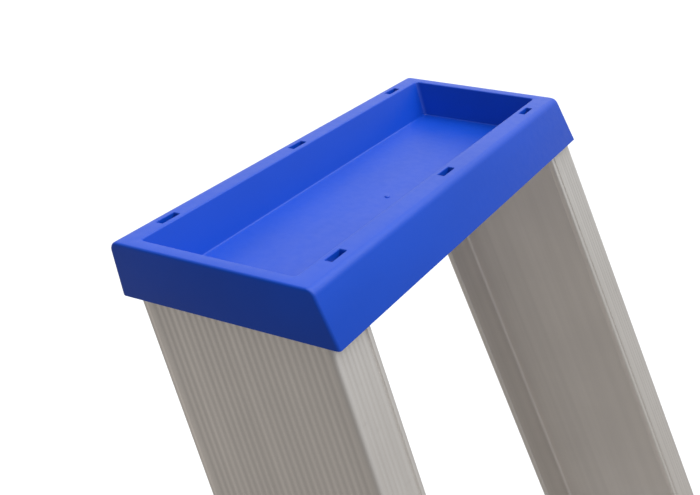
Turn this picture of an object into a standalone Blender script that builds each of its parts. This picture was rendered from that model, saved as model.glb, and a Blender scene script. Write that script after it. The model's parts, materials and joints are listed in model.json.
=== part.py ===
"""Platform step ladder with a high guard rail and a tool tray, standing open on its four feet.

Metres, +Z up, X across the ladder, -Y the side that is climbed. The origin is on the floor, at the
middle of the space that the open ladder covers. The climbing frame leans back to the tray. The rear
frame swings in about the axis of the support tube, and the platform tips up about its two bolts.
"""

import math

import bmesh
import bpy
from mathutils import Matrix, Vector
from mathutils.geometry import tessellate_polygon

# ---------------------------------------------------------------- driving dimensions
GAP = 0.0003  # air between pieces that touch on the real ladder
RISE = 0.230  # from one tread to the next
TREADS = 4  # the platform is the step above them
TRAY_TOP = 1.770

LEAN = math.radians(23.12)  # climbing frame, from the vertical
REAR_LEAN = math.radians(17.0)  # rear frame, from the vertical
SPLAY = 0.0736  # each side widens this much for each metre down the frame
TOP_HALF_WIDTH = 0.1291  # outer web face where the middle line of the stiles meets the tray

STILE_DEPTH = 0.080
STILE_FLANGE = 0.0275
STILE_WALL = 0.0020
STILE_LIP = 0.0030  # thickness of the flange along its free edge
STILE_LIP_WIDTH = 0.0040
STILE_RIBS = {0: (0.0060, 0.0028, 23, 0.00035), 1: (0.0026, 0.0058, 6, 0.00035)}

TREAD_DEPTH = 0.0798
TREAD_HEIGHT = 0.026
TREAD_WALL = 0.0018
PORT_OUTER = 0.0046  # half width of the webs that guide the rods inside the tread
PORT_BORE = 0.0030

TRAY_LENGTH = 0.2624
TRAY_WIDTH = 0.0898
TRAY_SKIRT = 0.0215
TRAY_WALL = 0.0022
TRAY_END_WALL = 0.0013
TRAY_FRONT_SLOPE = 0.556  # how far the skirt runs forward for each metre down
TRAY_REAR_SLOPE = 0.272
TRAY_END_FLARE = 0.037
RIM_LONG = 0.0104  # width of the rim along the long sides
RIM_END = 0.0068
POCKET_DEPTH = 0.0175
SLOT_LENGTH = 0.0115
SLOT_WIDTH = 0.0030
SLOT_PITCH = 0.1015
SLOT_INSET = 0.0066  # from the rim's outer edge to the middle of a slot

PLATFORM_THICK = 0.028
PLATFORM_FRONT = 0.050  # from the stile's middle line at platform height, forward and back
PLATFORM_BACK = 0.190
PLATFORM_HALF_WIDTH = 0.1290
PLATFORM_CAP = 0.0030
PLATFORM_PIVOT_DROP = 0.015
PLATFORM_PIVOT_FORWARD = 0.018

LEG_DEPTH = 0.045
LEG_WIDTH = 0.022
LEG_WALL = 0.0016
LEG_INSET = 0.002  # leg's outer face, inside the stile's
LEG_CLEARANCE = 0.009  # between stile and leg when folded
LEG_START = 0.030  # from the hinge axis down to the top of the leg's tube
CROSSBAR_DEPTH = 0.020
CROSSBAR_HEIGHT = 0.034

TUBE_RADIUS = 0.0125
TUBE_BORE = 0.0105
BOLT_RADIUS = 0.0040
SCREW_RADIUS = 0.0025
BRACKET_THICK = 0.0030
STRAP_WIDTH = 0.020
STRAP_THICK = 0.0015
STRAP_DOWN = 0.70  # from the hinge axis to the strap, measured along both frames
FOOT_WALL = 0.0030
FOOT_BASE = 0.006
FOOT_HEIGHT = 0.052

BLUE = ("blue_plastic", (0.035, 0.085, 0.56), 0.38, 0.0)
ALUMINIUM = ("aluminium", (0.62, 0.60, 0.58), 0.42, 0.9)
STEEL = ("zinc_steel", (0.66, 0.67, 0.69), 0.30, 1.0)
NYLON = ("grey_nylon", (0.16, 0.17, 0.18), 0.55, 0.0)
WEBBING = ("strap_webbing", (0.035, 0.070, 0.30), 0.85, 0.0)
RUBBER = ("foot_rubber", (0.045, 0.047, 0.05), 0.80, 0.0)

# ---------------------------------------------------------------- places worked out from them
SIN_L, COS_L = math.sin(LEAN), math.cos(LEAN)
SIN_R, COS_R = math.sin(REAR_LEAN), math.cos(REAR_LEAN)
PLATFORM_TOP = RISE * (TREADS + 1)
TRAY_UNDER = TRAY_TOP - TRAY_SKIRT
TOP_UP = TRAY_UNDER / COS_L  # distance up the climbing frame, at its middle plane
HINGE_ACROSS = STILE_DEPTH / 2 + LEG_CLEARANCE + LEG_DEPTH / 2
HINGE_Z = PLATFORM_TOP - PLATFORM_THICK - GAP - TUBE_RADIUS
HINGE_UP = (HINGE_Z + HINGE_ACROSS * SIN_L) / COS_L
HINGE_FORWARD_Y = HINGE_ACROSS * COS_L + HINGE_UP * SIN_L
FRONT_REACH = STILE_DEPTH / 2 / COS_L + (FOOT_WALL + GAP) / COS_L
REAR_REACH = HINGE_Z * math.tan(REAR_LEAN) + (LEG_DEPTH / 2 + FOOT_WALL + GAP) / COS_R
FLOOR_Y = (FRONT_REACH - HINGE_FORWARD_Y - REAR_REACH) / 2  # middle of the climbing frame on the floor
HINGE = Vector((0.0, FLOOR_Y + HINGE_FORWARD_Y, HINGE_Z))
PLATFORM_Y = FLOOR_Y + PLATFORM_TOP * math.tan(LEAN)
PIVOT = Vector((0.0, PLATFORM_Y - PLATFORM_PIVOT_FORWARD, PLATFORM_TOP - PLATFORM_PIVOT_DROP))
TRAY_Y = FLOOR_Y + TRAY_TOP * math.tan(LEAN)
SIDES = (("left", -1), ("right", 1))


def clear_scene():
    for obj in list(bpy.data.objects):
        bpy.data.objects.remove(obj)


def front_point(x, across, up):
    """A point of the climbing frame: across is square to it and rearward, up runs along it from the floor."""
    return Vector((x, FLOOR_Y + across * COS_L + up * SIN_L, up * COS_L - across * SIN_L))


def front_axes(point):
    """The across and up of a point."""
    y = point.y - FLOOR_Y
    return y * COS_L - point.z * SIN_L, y * SIN_L + point.z * COS_L


def up_at(across, z):
    return (z + across * SIN_L) / COS_L


def rear_point(x, across, down):
    """A point of the rear frame: across is square to it and rearward, down runs along it from the hinge."""
    return Vector((x, HINGE.y + across * COS_R + down * SIN_R, HINGE.z + across * SIN_R - down * COS_R))


def down_at(across, z):
    return (HINGE.z + across * SIN_R - z) / COS_R


def half_width(up):
    """Outer face of a stile's web."""
    return TOP_HALF_WIDTH + SPLAY * (TOP_UP - up)


def leg_half_width(down):
    """Outer face of a rear leg."""
    return half_width(HINGE_UP) - LEG_INSET + SPLAY * down


# ---------------------------------------------------------------- tools
def material(spec):
    name, colour, roughness, metallic = spec
    made = bpy.data.materials.get(name)
    if made:
        return made
    made = bpy.data.materials.new(name)
    made.use_nodes = True
    shader = made.node_tree.nodes["Principled BSDF"]
    shader.inputs["Base Color"].default_value = (*colour, 1.0)
    shader.inputs["Roughness"].default_value = roughness
    shader.inputs["Metallic"].default_value = metallic
    made.diffuse_color = (*colour, 1.0)
    return made


def body(name, at):
    """An empty that carries the pieces of one rigid body, on the axis that the body turns about."""
    empty = bpy.data.objects.new(name, None)
    empty.location = at
    bpy.context.scene.collection.objects.link(empty)
    return empty


def face_outward(bm):
    bmesh.ops.recalc_face_normals(bm, faces=bm.faces)
    if bm.calc_volume(signed=True) < 0:
        bmesh.ops.reverse_faces(bm, faces=bm.faces)


def add(name, bm, spec, carrier=None):
    """Makes the object of a piece built in world coordinates and hangs it on its body."""
    face_outward(bm)
    mesh = bpy.data.meshes.new(name)
    bm.to_mesh(mesh)
    bm.free()
    obj = bpy.data.objects.new(name, mesh)
    bpy.context.scene.collection.objects.link(obj)
    if carrier:
        mesh.transform(Matrix.Translation(-carrier.location))
        obj.parent = carrier
    if spec:
        mesh.materials.append(material(spec))
    return obj


def arc(before, corner, after, radius, steps):
    """The points that round off one corner of an outline."""
    here = Vector(corner)
    back = (Vector(before) - here).normalized()
    on = (Vector(after) - here).normalized()
    half = back.angle(on) / 2
    centre = here + (back + on).normalized() * (radius / math.sin(half))
    first = here + back * (radius / math.tan(half)) - centre
    last = here + on * (radius / math.tan(half)) - centre
    return [centre + first.lerp(last, k / steps).normalized() * radius for k in range(steps + 1)]


def grooved(start, end, count, depth):
    """Points along an edge with shallow grooves cut into the material on its left."""
    pitch = (end - start) / count
    inward = Vector((-pitch.y, pitch.x)).normalized() * depth
    points = []
    for k in range(count):
        foot = start + pitch * k
        points += [foot + pitch * 0.2, foot + pitch * 0.35 + inward, foot + pitch * 0.65 + inward]
        points.append(foot + pitch * 0.8)
    return points


def rounded(corners, radii, steps=2, ribs=None):
    """The outline through these corners with each turned into an arc. A radius of nothing keeps it sharp.

    ribs gives, for the edge after a corner, the plain width at its two ends, the grooves and their depth.
    """
    count = len(corners)
    radii = radii if isinstance(radii, list) else [radii] * count
    outline = []
    for i, corner in enumerate(corners):
        after = corners[(i + 1) % count]
        if radii[i]:
            outline += arc(corners[i - 1], corner, after, radii[i], steps)
        else:
            outline.append(Vector(corner))
        if ribs and i in ribs:
            plain_first, plain_last, grooves, depth = ribs[i]
            along = (Vector(after) - Vector(corner)).normalized()
            start = Vector(corner) + along * plain_first
            outline += grooved(start, Vector(after) - along * plain_last, grooves, depth)
    return [tuple(point) for point in outline]


def circle(a, b, radius, steps):
    turn = 2 * math.pi / steps
    return [(a + radius * math.cos(turn * k), b + radius * math.sin(turn * k)) for k in range(steps)]


def rectangle(a0, a1, b0, b1):
    return [(a0, b0), (a1, b0), (a1, b1), (a0, b1)]


def prism(loops, near, far):
    """A closed solid: near and far carry each outline point to its two ends.

    Loops after the first are holes.
    """
    triangles = tessellate_polygon([[Vector((a, b, 0)) for a, b in loop] for loop in loops])
    points = [point for loop in loops for point in loop]
    bm = bmesh.new()
    ends = [[bm.verts.new(place(a, b)) for a, b in points] for place in (near, far)]
    for i, j, k in triangles:
        bm.faces.new((ends[0][i], ends[0][j], ends[0][k]))
        bm.faces.new((ends[1][k], ends[1][j], ends[1][i]))
    start = 0
    for loop in loops:
        for i in range(len(loop)):
            here, on = start + i, start + (i + 1) % len(loop)
            bm.faces.new((ends[0][here], ends[0][on], ends[1][on], ends[1][here]))
        start += len(loop)
    return bm


def turned(profile, base, axis, steps):
    """A solid of revolution: profile is a closed outline of (radius, height along the axis)."""
    bm = bmesh.new()
    corners = [bm.verts.new((radius, 0, height)) for radius, height in profile]
    edges = []
    for i, corner in enumerate(corners):
        after = (i + 1) % len(corners)
        if profile[i][0] > 0 or profile[after][0] > 0:
            edges.append(bm.edges.new((corner, corners[after])))
    bmesh.ops.spin(bm, geom=corners + edges, cent=(0, 0, 0), axis=(0, 0, 1), angle=2 * math.pi, steps=steps)
    bmesh.ops.remove_doubles(bm, verts=bm.verts, dist=1e-6)
    turn = Vector(axis).to_track_quat("Z", "Y").to_matrix().to_4x4()
    bm.transform(Matrix.Translation(base) @ turn)
    return bm


def cut(obj, cutters):
    """Takes the cutters' shapes away from the object."""
    joined = bmesh.new()
    for cutter in cutters:
        face_outward(cutter)
        mesh = bpy.data.meshes.new("cutter")
        cutter.to_mesh(mesh)
        cutter.free()
        joined.from_mesh(mesh)
        bpy.data.meshes.remove(mesh)
    helper = add(obj.name + "_cutter", joined, None)
    boolean(obj, helper, "DIFFERENCE")


def join(obj, bm):
    """Makes this overlapping shape part of the object."""
    boolean(obj, add(obj.name + "_joined", bm, None), "UNION")


def boolean(obj, helper, operation):
    helper.hide_render = True
    helper.display_type = "WIRE"
    modifier = obj.modifiers.new(operation.lower(), "BOOLEAN")
    modifier.operation = operation
    modifier.solver = "EXACT"
    modifier.object = helper


def drill(at, axis, radius, length, steps=10):
    """A cylinder centred on a point, to cut with."""
    axis = Vector(axis).normalized()
    profile = [(0, -length / 2), (radius, -length / 2), (radius, length / 2), (0, length / 2)]
    return turned(profile, Vector(at), axis, steps)


def fastener(name, at, inward, shank_radius, length, head_radius, head_height, carrier, spec=STEEL, steps=10):
    """A screw or bolt with a domed head that stands on a face at a point."""
    turns = (0, math.pi / 5, math.pi / 2.7)
    dome = [(head_radius * math.cos(t), GAP + head_height * math.sin(t)) for t in turns]
    profile = [(0, -length), (shank_radius, -length), (shank_radius, GAP), *dome, (0, GAP + head_height)]
    return add(name, turned(profile, Vector(at), -Vector(inward), steps), spec, carrier)


# ---------------------------------------------------------------- climbing frame
def stile_profile(grow=0.0, ribs=None):
    """The channel's section: first figure inward from the web's outer face, second across the frame."""
    half, tip = STILE_DEPTH / 2 + grow, STILE_FLANGE + grow
    step = STILE_FLANGE - STILE_LIP_WIDTH - grow
    wall = STILE_WALL + grow
    inner, lip = STILE_DEPTH / 2 - wall, STILE_DEPTH / 2 - STILE_LIP - grow
    corners = [
        (-grow, half),
        (-grow, -half),
        (tip, -half),
        (tip, -lip),
        (step, -lip),
        (step, -inner),
        (wall, -inner),
        (wall, inner),
        (step, inner),
        (step, lip),
        (tip, lip),
        (tip, half),
    ]
    radii = [0.0016, 0.0016, 0.0009, *[0.0] * 8, 0.0009]
    return rounded(corners, radii, 2, ribs)


def on_stile(side, inward, across, up):
    """A point of a stile: inward from its outer web face, which leans with the splay."""
    tilt = math.atan(SPLAY)
    return front_point(
        side * (half_width(up) - inward * math.cos(tilt)), across, up - inward * math.sin(tilt)
    )


def stile_prism(side, loops, bottom, top):
    """A length of a stile's section, cut level at the two heights."""

    def at(height):
        def place(inward, across):
            tilt = math.atan(SPLAY)
            up = up_at(across, height) + inward * math.sin(tilt)
            return on_stile(side, inward, across, up)

        return place

    return prism(loops, at(bottom), at(top))


def make_stile(word, side, frame):
    stile = add(
        "front_stile_" + word,
        stile_prism(side, [stile_profile(0.0, STILE_RIBS)], FOOT_BASE + GAP, TRAY_UNDER + 0.0012),
        ALUMINIUM,
        frame,
    )
    holes = [drill(place, (1, 0, 0), SCREW_RADIUS + GAP, 0.02) for place in tread_rod_places(side)]
    pivot_across, pivot_up = front_axes(PIVOT)
    holes.append(drill(on_stile(side, 0, pivot_across, pivot_up), (1, 0, 0), BOLT_RADIUS + GAP, 0.02))
    holes.append(drill(strap_front_place(side), front_normal(), SCREW_RADIUS + GAP, 0.012))
    holes.append(drill(tray_screw_place(side), front_normal(), SCREW_RADIUS + GAP, 0.012))
    cut(stile, holes)


def front_normal():
    return front_point(0, 1, 0) - front_point(0, 0, 0)


def rear_normal():
    return rear_point(0, 1, 0) - rear_point(0, 0, 0)


def tread_top(number):
    return RISE * number


def tread_section(depth, height, top):
    """Corners of a tread's section: level top and bottom, ends along the stile."""
    middle = FLOOR_Y + top * math.tan(LEAN)
    drop = height * math.tan(LEAN)
    half = depth / 2
    return [
        (middle - half - drop, top - height),
        (middle + half - drop, top - height),
        (middle + half, top),
        (middle - half, top),
    ]


def port_places(number):
    """Centres of a tread's two rods, in Y and Z."""
    top = tread_top(number)
    slope = math.tan(LEAN)
    middle = FLOOR_Y + top * slope
    drop = TREAD_HEIGHT / 2
    return [(middle + offset - drop * slope, top - drop) for offset in (-0.024, 0.024)]


def tread_rod_places(side):
    """Where each tread rod passes the web's outer face."""
    places = []
    for number in range(1, TREADS + 1):
        for y, z in port_places(number):
            _, up = front_axes(Vector((0, y, z)))
            places.append(Vector((side * half_width(up), y, z)))
    return places


def make_tread(number, frame):
    top = tread_top(number)
    slope = math.tan(LEAN)
    wall = TREAD_WALL / COS_L
    section = tread_section(TREAD_DEPTH, TREAD_HEIGHT, top)
    loops = [rounded(section, 0.0025, 2, {2: (0.0045, 0.0045, 16, 0.0007)})]
    ceiling, bottom = top - 0.0025, top - TREAD_HEIGHT + TREAD_WALL
    middle = FLOOR_Y + top * slope
    edges = [middle - TREAD_DEPTH / 2 + wall]
    for y, z in port_places(number):
        level = y + slope * (top - z)
        edges += [level - PORT_OUTER, level + PORT_OUTER]
    edges.append(middle + TREAD_DEPTH / 2 - wall)
    for first, last in zip(edges[::2], edges[1::2]):
        rise = slope * (top - ceiling)
        drop = slope * (top - bottom)
        space = [(first - drop, bottom), (last - drop, bottom)]
        space += [(last - rise, ceiling), (first - rise, ceiling)]
        loops.append(rounded(space, 0.001, 1))
    loops += [circle(y, z, PORT_BORE, 8) for y, z in port_places(number)]

    def end(side):
        def place(y, z):
            _, up = front_axes(Vector((0, y, z)))
            wall_in = (STILE_WALL + GAP) / math.cos(math.atan(SPLAY))
            return Vector((side * (half_width(up) - wall_in), y, z))

        return place

    add(f"tread_{number}", prism(loops, end(-1), end(1)), ALUMINIUM, frame)


def make_tread_rods(number, frame):
    """The two steel rods that tie the stiles through a tread, with their ends formed into heads."""
    for word, (y, z) in zip(("front", "rear"), port_places(number)):
        _, up = front_axes(Vector((0, y, z)))
        half = half_width(up) + 0.0005
        ends = [(half + 0.0024, 0), (half + 0.0019, 0.0028), (half, 0.0052), (half, SCREW_RADIUS)]
        right = [(radius, height) for height, radius in ends]
        left = [(radius, -height) for radius, height in right]
        rod = turned(left + right[::-1], Vector((0, y, z)), (1, 0, 0), 10)
        add(f"tread_{number}_rod_{word}", rod, STEEL, frame)


def make_front_foot(word, side, frame):
    half = STILE_DEPTH / 2
    grow = FOOT_WALL + GAP
    shell = rounded(rectangle(-grow, STILE_FLANGE + grow, -half - grow, half + grow), 0.003, 2)
    foot = add("front_foot_" + word, stile_prism(side, [shell], 0.0, FOOT_HEIGHT), RUBBER, frame)
    cut(foot, [stile_prism(side, [stile_profile(GAP)], FOOT_BASE, FOOT_HEIGHT + 0.01)])


# ---------------------------------------------------------------- tool tray
def tray_ring(x, front, rear, depth):
    """Four corners of a level rectangle, below the tray's top."""
    z = TRAY_TOP - depth
    return [Vector((px, TRAY_Y + y, z)) for px, y in ((-x, -front), (x, -front), (x, rear), (-x, rear))]


def lofted(rings):
    """A closed solid through level rings with the same number of points."""
    bm = bmesh.new()
    rows = [[bm.verts.new(point) for point in ring] for ring in rings]
    count = len(rows[0])
    for lower, upper in zip(rows, rows[1:]):
        for i in range(count):
            on = (i + 1) % count
            bm.faces.new((lower[i], lower[on], upper[on], upper[i]))
    bm.faces.new(rows[0])
    bm.faces.new(list(reversed(rows[-1])))
    face_outward(bm)
    return bm


def skirt_ring(depth, inset=0.0, end_inset=0.0):
    half = TRAY_WIDTH / 2
    return tray_ring(
        TRAY_LENGTH / 2 + TRAY_END_FLARE * depth - end_inset,
        half + TRAY_FRONT_SLOPE * depth - inset,
        half - TRAY_REAR_SLOPE * depth - inset,
        depth,
    )


def pocket_ring(depth, grow=0.0):
    half = TRAY_WIDTH / 2 - RIM_LONG
    return tray_ring(
        TRAY_LENGTH / 2 - RIM_END - 0.12 * depth + grow,
        half - 0.03 * depth + grow,
        half - 0.30 * depth + grow,
        depth,
    )


def tray_screw_place(side):
    """Where the tray's screw meets the rear face of the stile."""
    across = STILE_DEPTH / 2
    return on_stile(side, 0.011, across, up_at(across, TRAY_UNDER - 0.0065))


def make_tray(frame):
    outside = lofted([skirt_ring(0.0), skirt_ring(TRAY_SKIRT)])
    rim = [e for e in outside.edges if sum(abs(v.co.z - TRAY_TOP) < 1e-6 for v in e.verts) == 2]
    bmesh.ops.bevel(outside, geom=rim, offset=0.0022, segments=3, profile=0.5, affect="EDGES")
    tray = add("tool_tray", outside, BLUE, frame)
    floor_under = POCKET_DEPTH + TRAY_WALL
    depths = (TRAY_WALL + 0.0004, TRAY_SKIRT + 0.002)
    inside = [skirt_ring(depth, TRAY_WALL, TRAY_END_WALL) for depth in depths]
    hollow = add("tray_hollow", lofted(inside), None)
    walls = lofted([pocket_ring(-0.002, TRAY_WALL), pocket_ring(floor_under, TRAY_WALL)])
    boolean(hollow, add("tray_pocket_block", walls, None), "DIFFERENCE")
    boolean(tray, hollow, "DIFFERENCE")
    slots = []
    for y in (SLOT_INSET - TRAY_WIDTH / 2, TRAY_WIDTH / 2 - SLOT_INSET):
        for x in (-SLOT_PITCH, 0.0, SLOT_PITCH):
            half_long, half_wide = SLOT_LENGTH / 2, SLOT_WIDTH / 2
            ring = rectangle(x - half_long, x + half_long, y - half_wide, y + half_wide)
            rings = [[Vector((a, TRAY_Y + b, TRAY_TOP + h)) for a, b in ring] for h in (0.002, -0.006)]
            slots.append(lofted(rings))
    cut(tray, [lofted([pocket_ring(-0.001), pocket_ring(POCKET_DEPTH)]), *slots])
    for _, side in SIDES:
        join(tray, tray_plug(side))
    cut(tray, [drill(tray_screw_place(side), front_normal(), SCREW_RADIUS + GAP, 0.020) for _, side in SIDES])


def tray_plug(side):
    """The block under each end of the tray that fills the top of the stile."""
    half = STILE_DEPTH / 2 - STILE_LIP - GAP
    section = rectangle(STILE_WALL + GAP, STILE_FLANGE - 0.002, -half, half)
    return stile_prism(side, [section], TRAY_UNDER - 0.0115, TRAY_TOP - POCKET_DEPTH - 0.0012)


def make_tray_screws(frame):
    for word, side in SIDES:
        place = tray_screw_place(side)
        fastener("tray_screw_" + word, place, -front_normal(), SCREW_RADIUS, 0.009, 0.0046, 0.0018, frame)


# ---------------------------------------------------------------- hinge brackets, support tube and bolts
def bracket_face(side, out):
    """Carries a bracket's outline, given across and up, to a plane outside the stile's web."""

    def place(across, up):
        return front_point(side * (half_width(up) + out), across, up)

    return place


def make_bracket(word, side, frame):
    reach = HINGE_ACROSS + 0.017
    corners = [
        (-0.034, HINGE_UP - 0.040),
        (0.030, HINGE_UP - 0.058),
        (reach, HINGE_UP - 0.017),
        (reach, HINGE_UP + 0.017),
        (0.030, HINGE_UP + 0.040),
        (-0.034, HINGE_UP + 0.030),
    ]
    outline = rounded(corners, 0.012, 3)
    plate = prism([outline], bracket_face(side, GAP), bracket_face(side, GAP + BRACKET_THICK))
    bracket = add("hinge_bracket_" + word, plate, ALUMINIUM, frame)
    holes = []
    for axis_point in (HINGE, PIVOT):
        _, up = front_axes(axis_point)
        middle = Vector((side * (half_width(up) + BRACKET_THICK / 2), axis_point.y, axis_point.z))
        holes.append(drill(middle, (1, 0, 0), BOLT_RADIUS + 0.0005, 0.02, 12))
    cut(bracket, holes)


def outer_face(axis_point):
    """How far out the bracket's outer face is at a bolt, with room for the head on the tilted plate."""
    _, up = front_axes(axis_point)
    return half_width(up) + GAP + BRACKET_THICK + 0.0007


def tube_half_length():
    return leg_half_width(0) - LEG_WIDTH - 0.0008


def make_hinge_hardware(frame):
    half = tube_half_length()
    ring = [(TUBE_BORE, 0), (TUBE_RADIUS, 0), (TUBE_RADIUS, 2 * half), (TUBE_BORE, 2 * half)]
    add("support_tube", turned(ring, HINGE - Vector((half, 0, 0)), (1, 0, 0), 20), ALUMINIUM, frame)
    for word, side in SIDES:
        out = Vector((side, 0, 0))
        bore, skin, depth = BOLT_RADIUS + GAP, TUBE_BORE - GAP, 0.030
        plug = [(bore, 0), (skin, 0), (skin, depth), (bore, depth)]
        add("tube_plug_" + word, turned(plug, HINGE + out * half, -out, 16), NYLON, frame)
        head = HINGE + out * outer_face(HINGE)
        fastener("hinge_bolt_" + word, head, -out, BOLT_RADIUS, 0.048, 0.0085, 0.0048, frame, STEEL, 12)
        head = PIVOT + out * outer_face(PIVOT)
        length = outer_face(PIVOT) - PLATFORM_HALF_WIDTH + 0.014
        fastener("platform_bolt_" + word, head, -out, BOLT_RADIUS, length, 0.0085, 0.0048, frame, STEEL, 12)
        inner = PLATFORM_HALF_WIDTH + PLATFORM_CAP + 2 * GAP
        _, up = front_axes(PIVOT)
        length = half_width(up) - STILE_WALL - 0.0014 - inner
        spacer = [(BOLT_RADIUS + GAP, 0), (0.0085, 0), (0.0085, length), (BOLT_RADIUS + GAP, length)]
        add("platform_spacer_" + word, turned(spacer, PIVOT + out * inner, out, 14), NYLON, frame)


# ---------------------------------------------------------------- platform
def platform_span():
    return PLATFORM_Y - PLATFORM_FRONT, PLATFORM_Y + PLATFORM_BACK


def spaces(first, last, count, wall):
    """Splits a length into equal spaces with a wall between each two."""
    width = (last - first - (count - 1) * wall) / count
    return [(first + k * (width + wall), first + k * (width + wall) + width) for k in range(count)]


def make_platform(platform):
    front, back = platform_span()
    top, under = PLATFORM_TOP, PLATFORM_TOP - PLATFORM_THICK
    wall, boss = 0.0022, 0.0095
    loops = [rounded(rectangle(front, back, under, top), 0.004, 2, {2: (0.008, 0.008, 24, 0.0007)})]
    voids = [(front + wall, PIVOT.y - boss), *spaces(PIVOT.y + boss, back - wall, 3, wall)]
    for first, last in voids:
        loops.append(rounded(rectangle(first, last, under + wall, top - 0.0028), 0.002, 1))
    bore = circle(PIVOT.y, PIVOT.z, BOLT_RADIUS + 0.0005, 10)
    half = PLATFORM_HALF_WIDTH
    deck = prism([*loops, bore], lambda y, z: (-half, y, z), lambda y, z: (half, y, z))
    add("platform_deck", deck, ALUMINIUM, platform)
    plate = [rounded(rectangle(front, back, under, top), 0.004, 2), bore]
    for word, side in SIDES:
        near, far = side * (half + GAP), side * (half + PLATFORM_CAP)
        cap = prism(plate, lambda y, z: (near, y, z), lambda y, z: (far, y, z))
        add("platform_cap_" + word, cap, BLUE, platform)
        make_clip(word, side, platform)


def make_clip(word, side, platform):
    """A hook under the deck that drops behind the support tube."""
    under = PLATFORM_TOP - PLATFORM_THICK - GAP
    reach = TUBE_RADIUS + GAP
    turns = [math.radians(-10 + 9 * k) for k in range(9)]
    hollow = [(HINGE.y + reach * math.cos(t), HINGE.z + reach * math.sin(t)) for t in turns]
    back = HINGE.y + reach + 0.0055
    outline = [hollow[0], (back, hollow[0][1]), (back, under), (hollow[-1][0], under), *hollow[:0:-1]]
    near, far = side * 0.070, side * 0.094
    clip = prism([outline], lambda y, z: (near, y, z), lambda y, z: (far, y, z))
    add("platform_clip_" + word, clip, BLUE, platform)


# ---------------------------------------------------------------- rear frame
def leg_end(side, at):
    """Carries a leg's section, given outward from its inner face and across, to a place along the leg."""

    def place(outward, across):
        down = at(across)
        return rear_point(side * (leg_half_width(down) - LEG_WIDTH + outward), across, down)

    return place


def leg_section(grow):
    return rounded(rectangle(-grow, LEG_WIDTH + grow, -LEG_DEPTH / 2 - grow, LEG_DEPTH / 2 + grow), 0.002, 2)


def leg_hollow(shrink):
    return rectangle(shrink, LEG_WIDTH - shrink, -LEG_DEPTH / 2 + shrink, LEG_DEPTH / 2 - shrink)


def make_leg(word, side, rear):
    def level(z):
        """The leg cut level at this height."""
        return leg_end(side, lambda across: down_at(across, z))

    top = leg_end(side, lambda across: LEG_START + GAP)
    leg = prism([leg_section(0), leg_hollow(LEG_WALL)], top, level(FOOT_BASE + GAP))
    leg = add("rear_leg_" + word, leg, ALUMINIUM, rear)
    cut(leg, [drill(strap_rear_place(side), rear_normal(), SCREW_RADIUS + GAP, 0.012)])
    foot = prism([leg_section(FOOT_WALL + GAP)], level(0.0), level(FOOT_HEIGHT))
    foot = add("rear_foot_" + word, foot, RUBBER, rear)
    socket = [leg_section(GAP), leg_hollow(LEG_WALL + GAP)]
    cut(foot, [prism(socket, level(FOOT_BASE), level(FOOT_HEIGHT + 0.01))])


def make_hinge_block(word, side, rear):
    """The moulded knuckle in the top of each rear leg."""
    radius = LEG_DEPTH / 2
    turns = [math.pi * k / 10 for k in range(11)]
    crown = [(radius * math.cos(t), -radius * math.sin(t)) for t in turns]
    outline = [*crown, (-radius, LEG_START), (radius, LEG_START)]
    slim = 0.0004

    def face(outward):
        def place(across, down):
            return rear_point(side * (leg_half_width(down) - LEG_WIDTH + outward), across, down)

        return place

    block = add("hinge_block_" + word, prism([outline], face(slim), face(LEG_WIDTH - slim)), BLUE, rear)
    inset = LEG_WALL + GAP
    tenon = [leg_hollow(inset)]
    join(block, prism(tenon, leg_end(side, lambda across: 0.016), leg_end(side, lambda across: 0.062)))
    middle = HINGE + Vector((side * (leg_half_width(0) - LEG_WIDTH / 2), 0, 0))
    cut(block, [drill(middle, (1, 0, 0), BOLT_RADIUS + GAP, 0.04, 12)])


def crossbar_downs():
    """Where the three crossbars lie along the rear frame."""
    return [("upper", down_at(0, 0.860)), ("middle", down_at(0, 0.500)), ("lower", down_at(0, 0.130))]


def make_crossbar(word, down, rear):
    half_depth, half_height = CROSSBAR_DEPTH / 2, CROSSBAR_HEIGHT / 2
    outer = rounded(rectangle(-half_depth, half_depth, down - half_height, down + half_height), 0.002, 2)
    wall = 0.0015
    reach = half_depth - wall
    hollow = rectangle(-reach, reach, down - half_height + wall, down + half_height - wall)

    def end(side):
        return lambda across, d: rear_point(side * (leg_half_width(d) - LEG_WIDTH - GAP), across, d)

    add("rear_crossbar_" + word, prism([outer, hollow], end(-1), end(1)), ALUMINIUM, rear)


def make_brace(word, side, rear):
    """A flat bar from the middle of one crossbar to the outer end of the one below."""
    downs = dict(crossbar_downs())
    high, low = downs["middle"], downs["lower"]
    start = Vector((0.030, high))
    end = Vector((leg_half_width(low) - LEG_WIDTH - 0.022, low))
    along = (end - start).normalized()
    aside = Vector((-along.y, along.x)) * 0.009
    start, end = start - along * 0.010, end + along * 0.010
    outline = rounded([start + aside, end + aside, end - aside, start - aside], 0.0088, 4)
    near = CROSSBAR_DEPTH / 2 + GAP

    def face(across):
        return lambda x, down: rear_point(side * x, across, down)

    add("rear_brace_" + word, prism([outline], face(near), face(near + 0.003)), ALUMINIUM, rear)


# ---------------------------------------------------------------- straps
def strap_x(side):
    return side * (half_width(HINGE_UP - STRAP_DOWN) - STILE_FLANGE / 2 - 0.0008)


def strap_ends():
    """Where the strap leaves the stile and where it meets the leg, in Y and Z."""
    lift = GAP + STRAP_THICK / 2
    front = front_point(0, STILE_DEPTH / 2 + lift, HINGE_UP - STRAP_DOWN)
    rear = rear_point(0, -LEG_DEPTH / 2 - lift, STRAP_DOWN)
    return front, rear


def strap_front_place(side):
    place = front_point(0, STILE_DEPTH / 2, HINGE_UP - STRAP_DOWN - 0.018)
    return Vector((strap_x(side), place.y, place.z))


def strap_rear_place(side):
    place = rear_point(0, -LEG_DEPTH / 2, STRAP_DOWN - 0.018)
    return Vector((strap_x(side), place.y, place.z))


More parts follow.
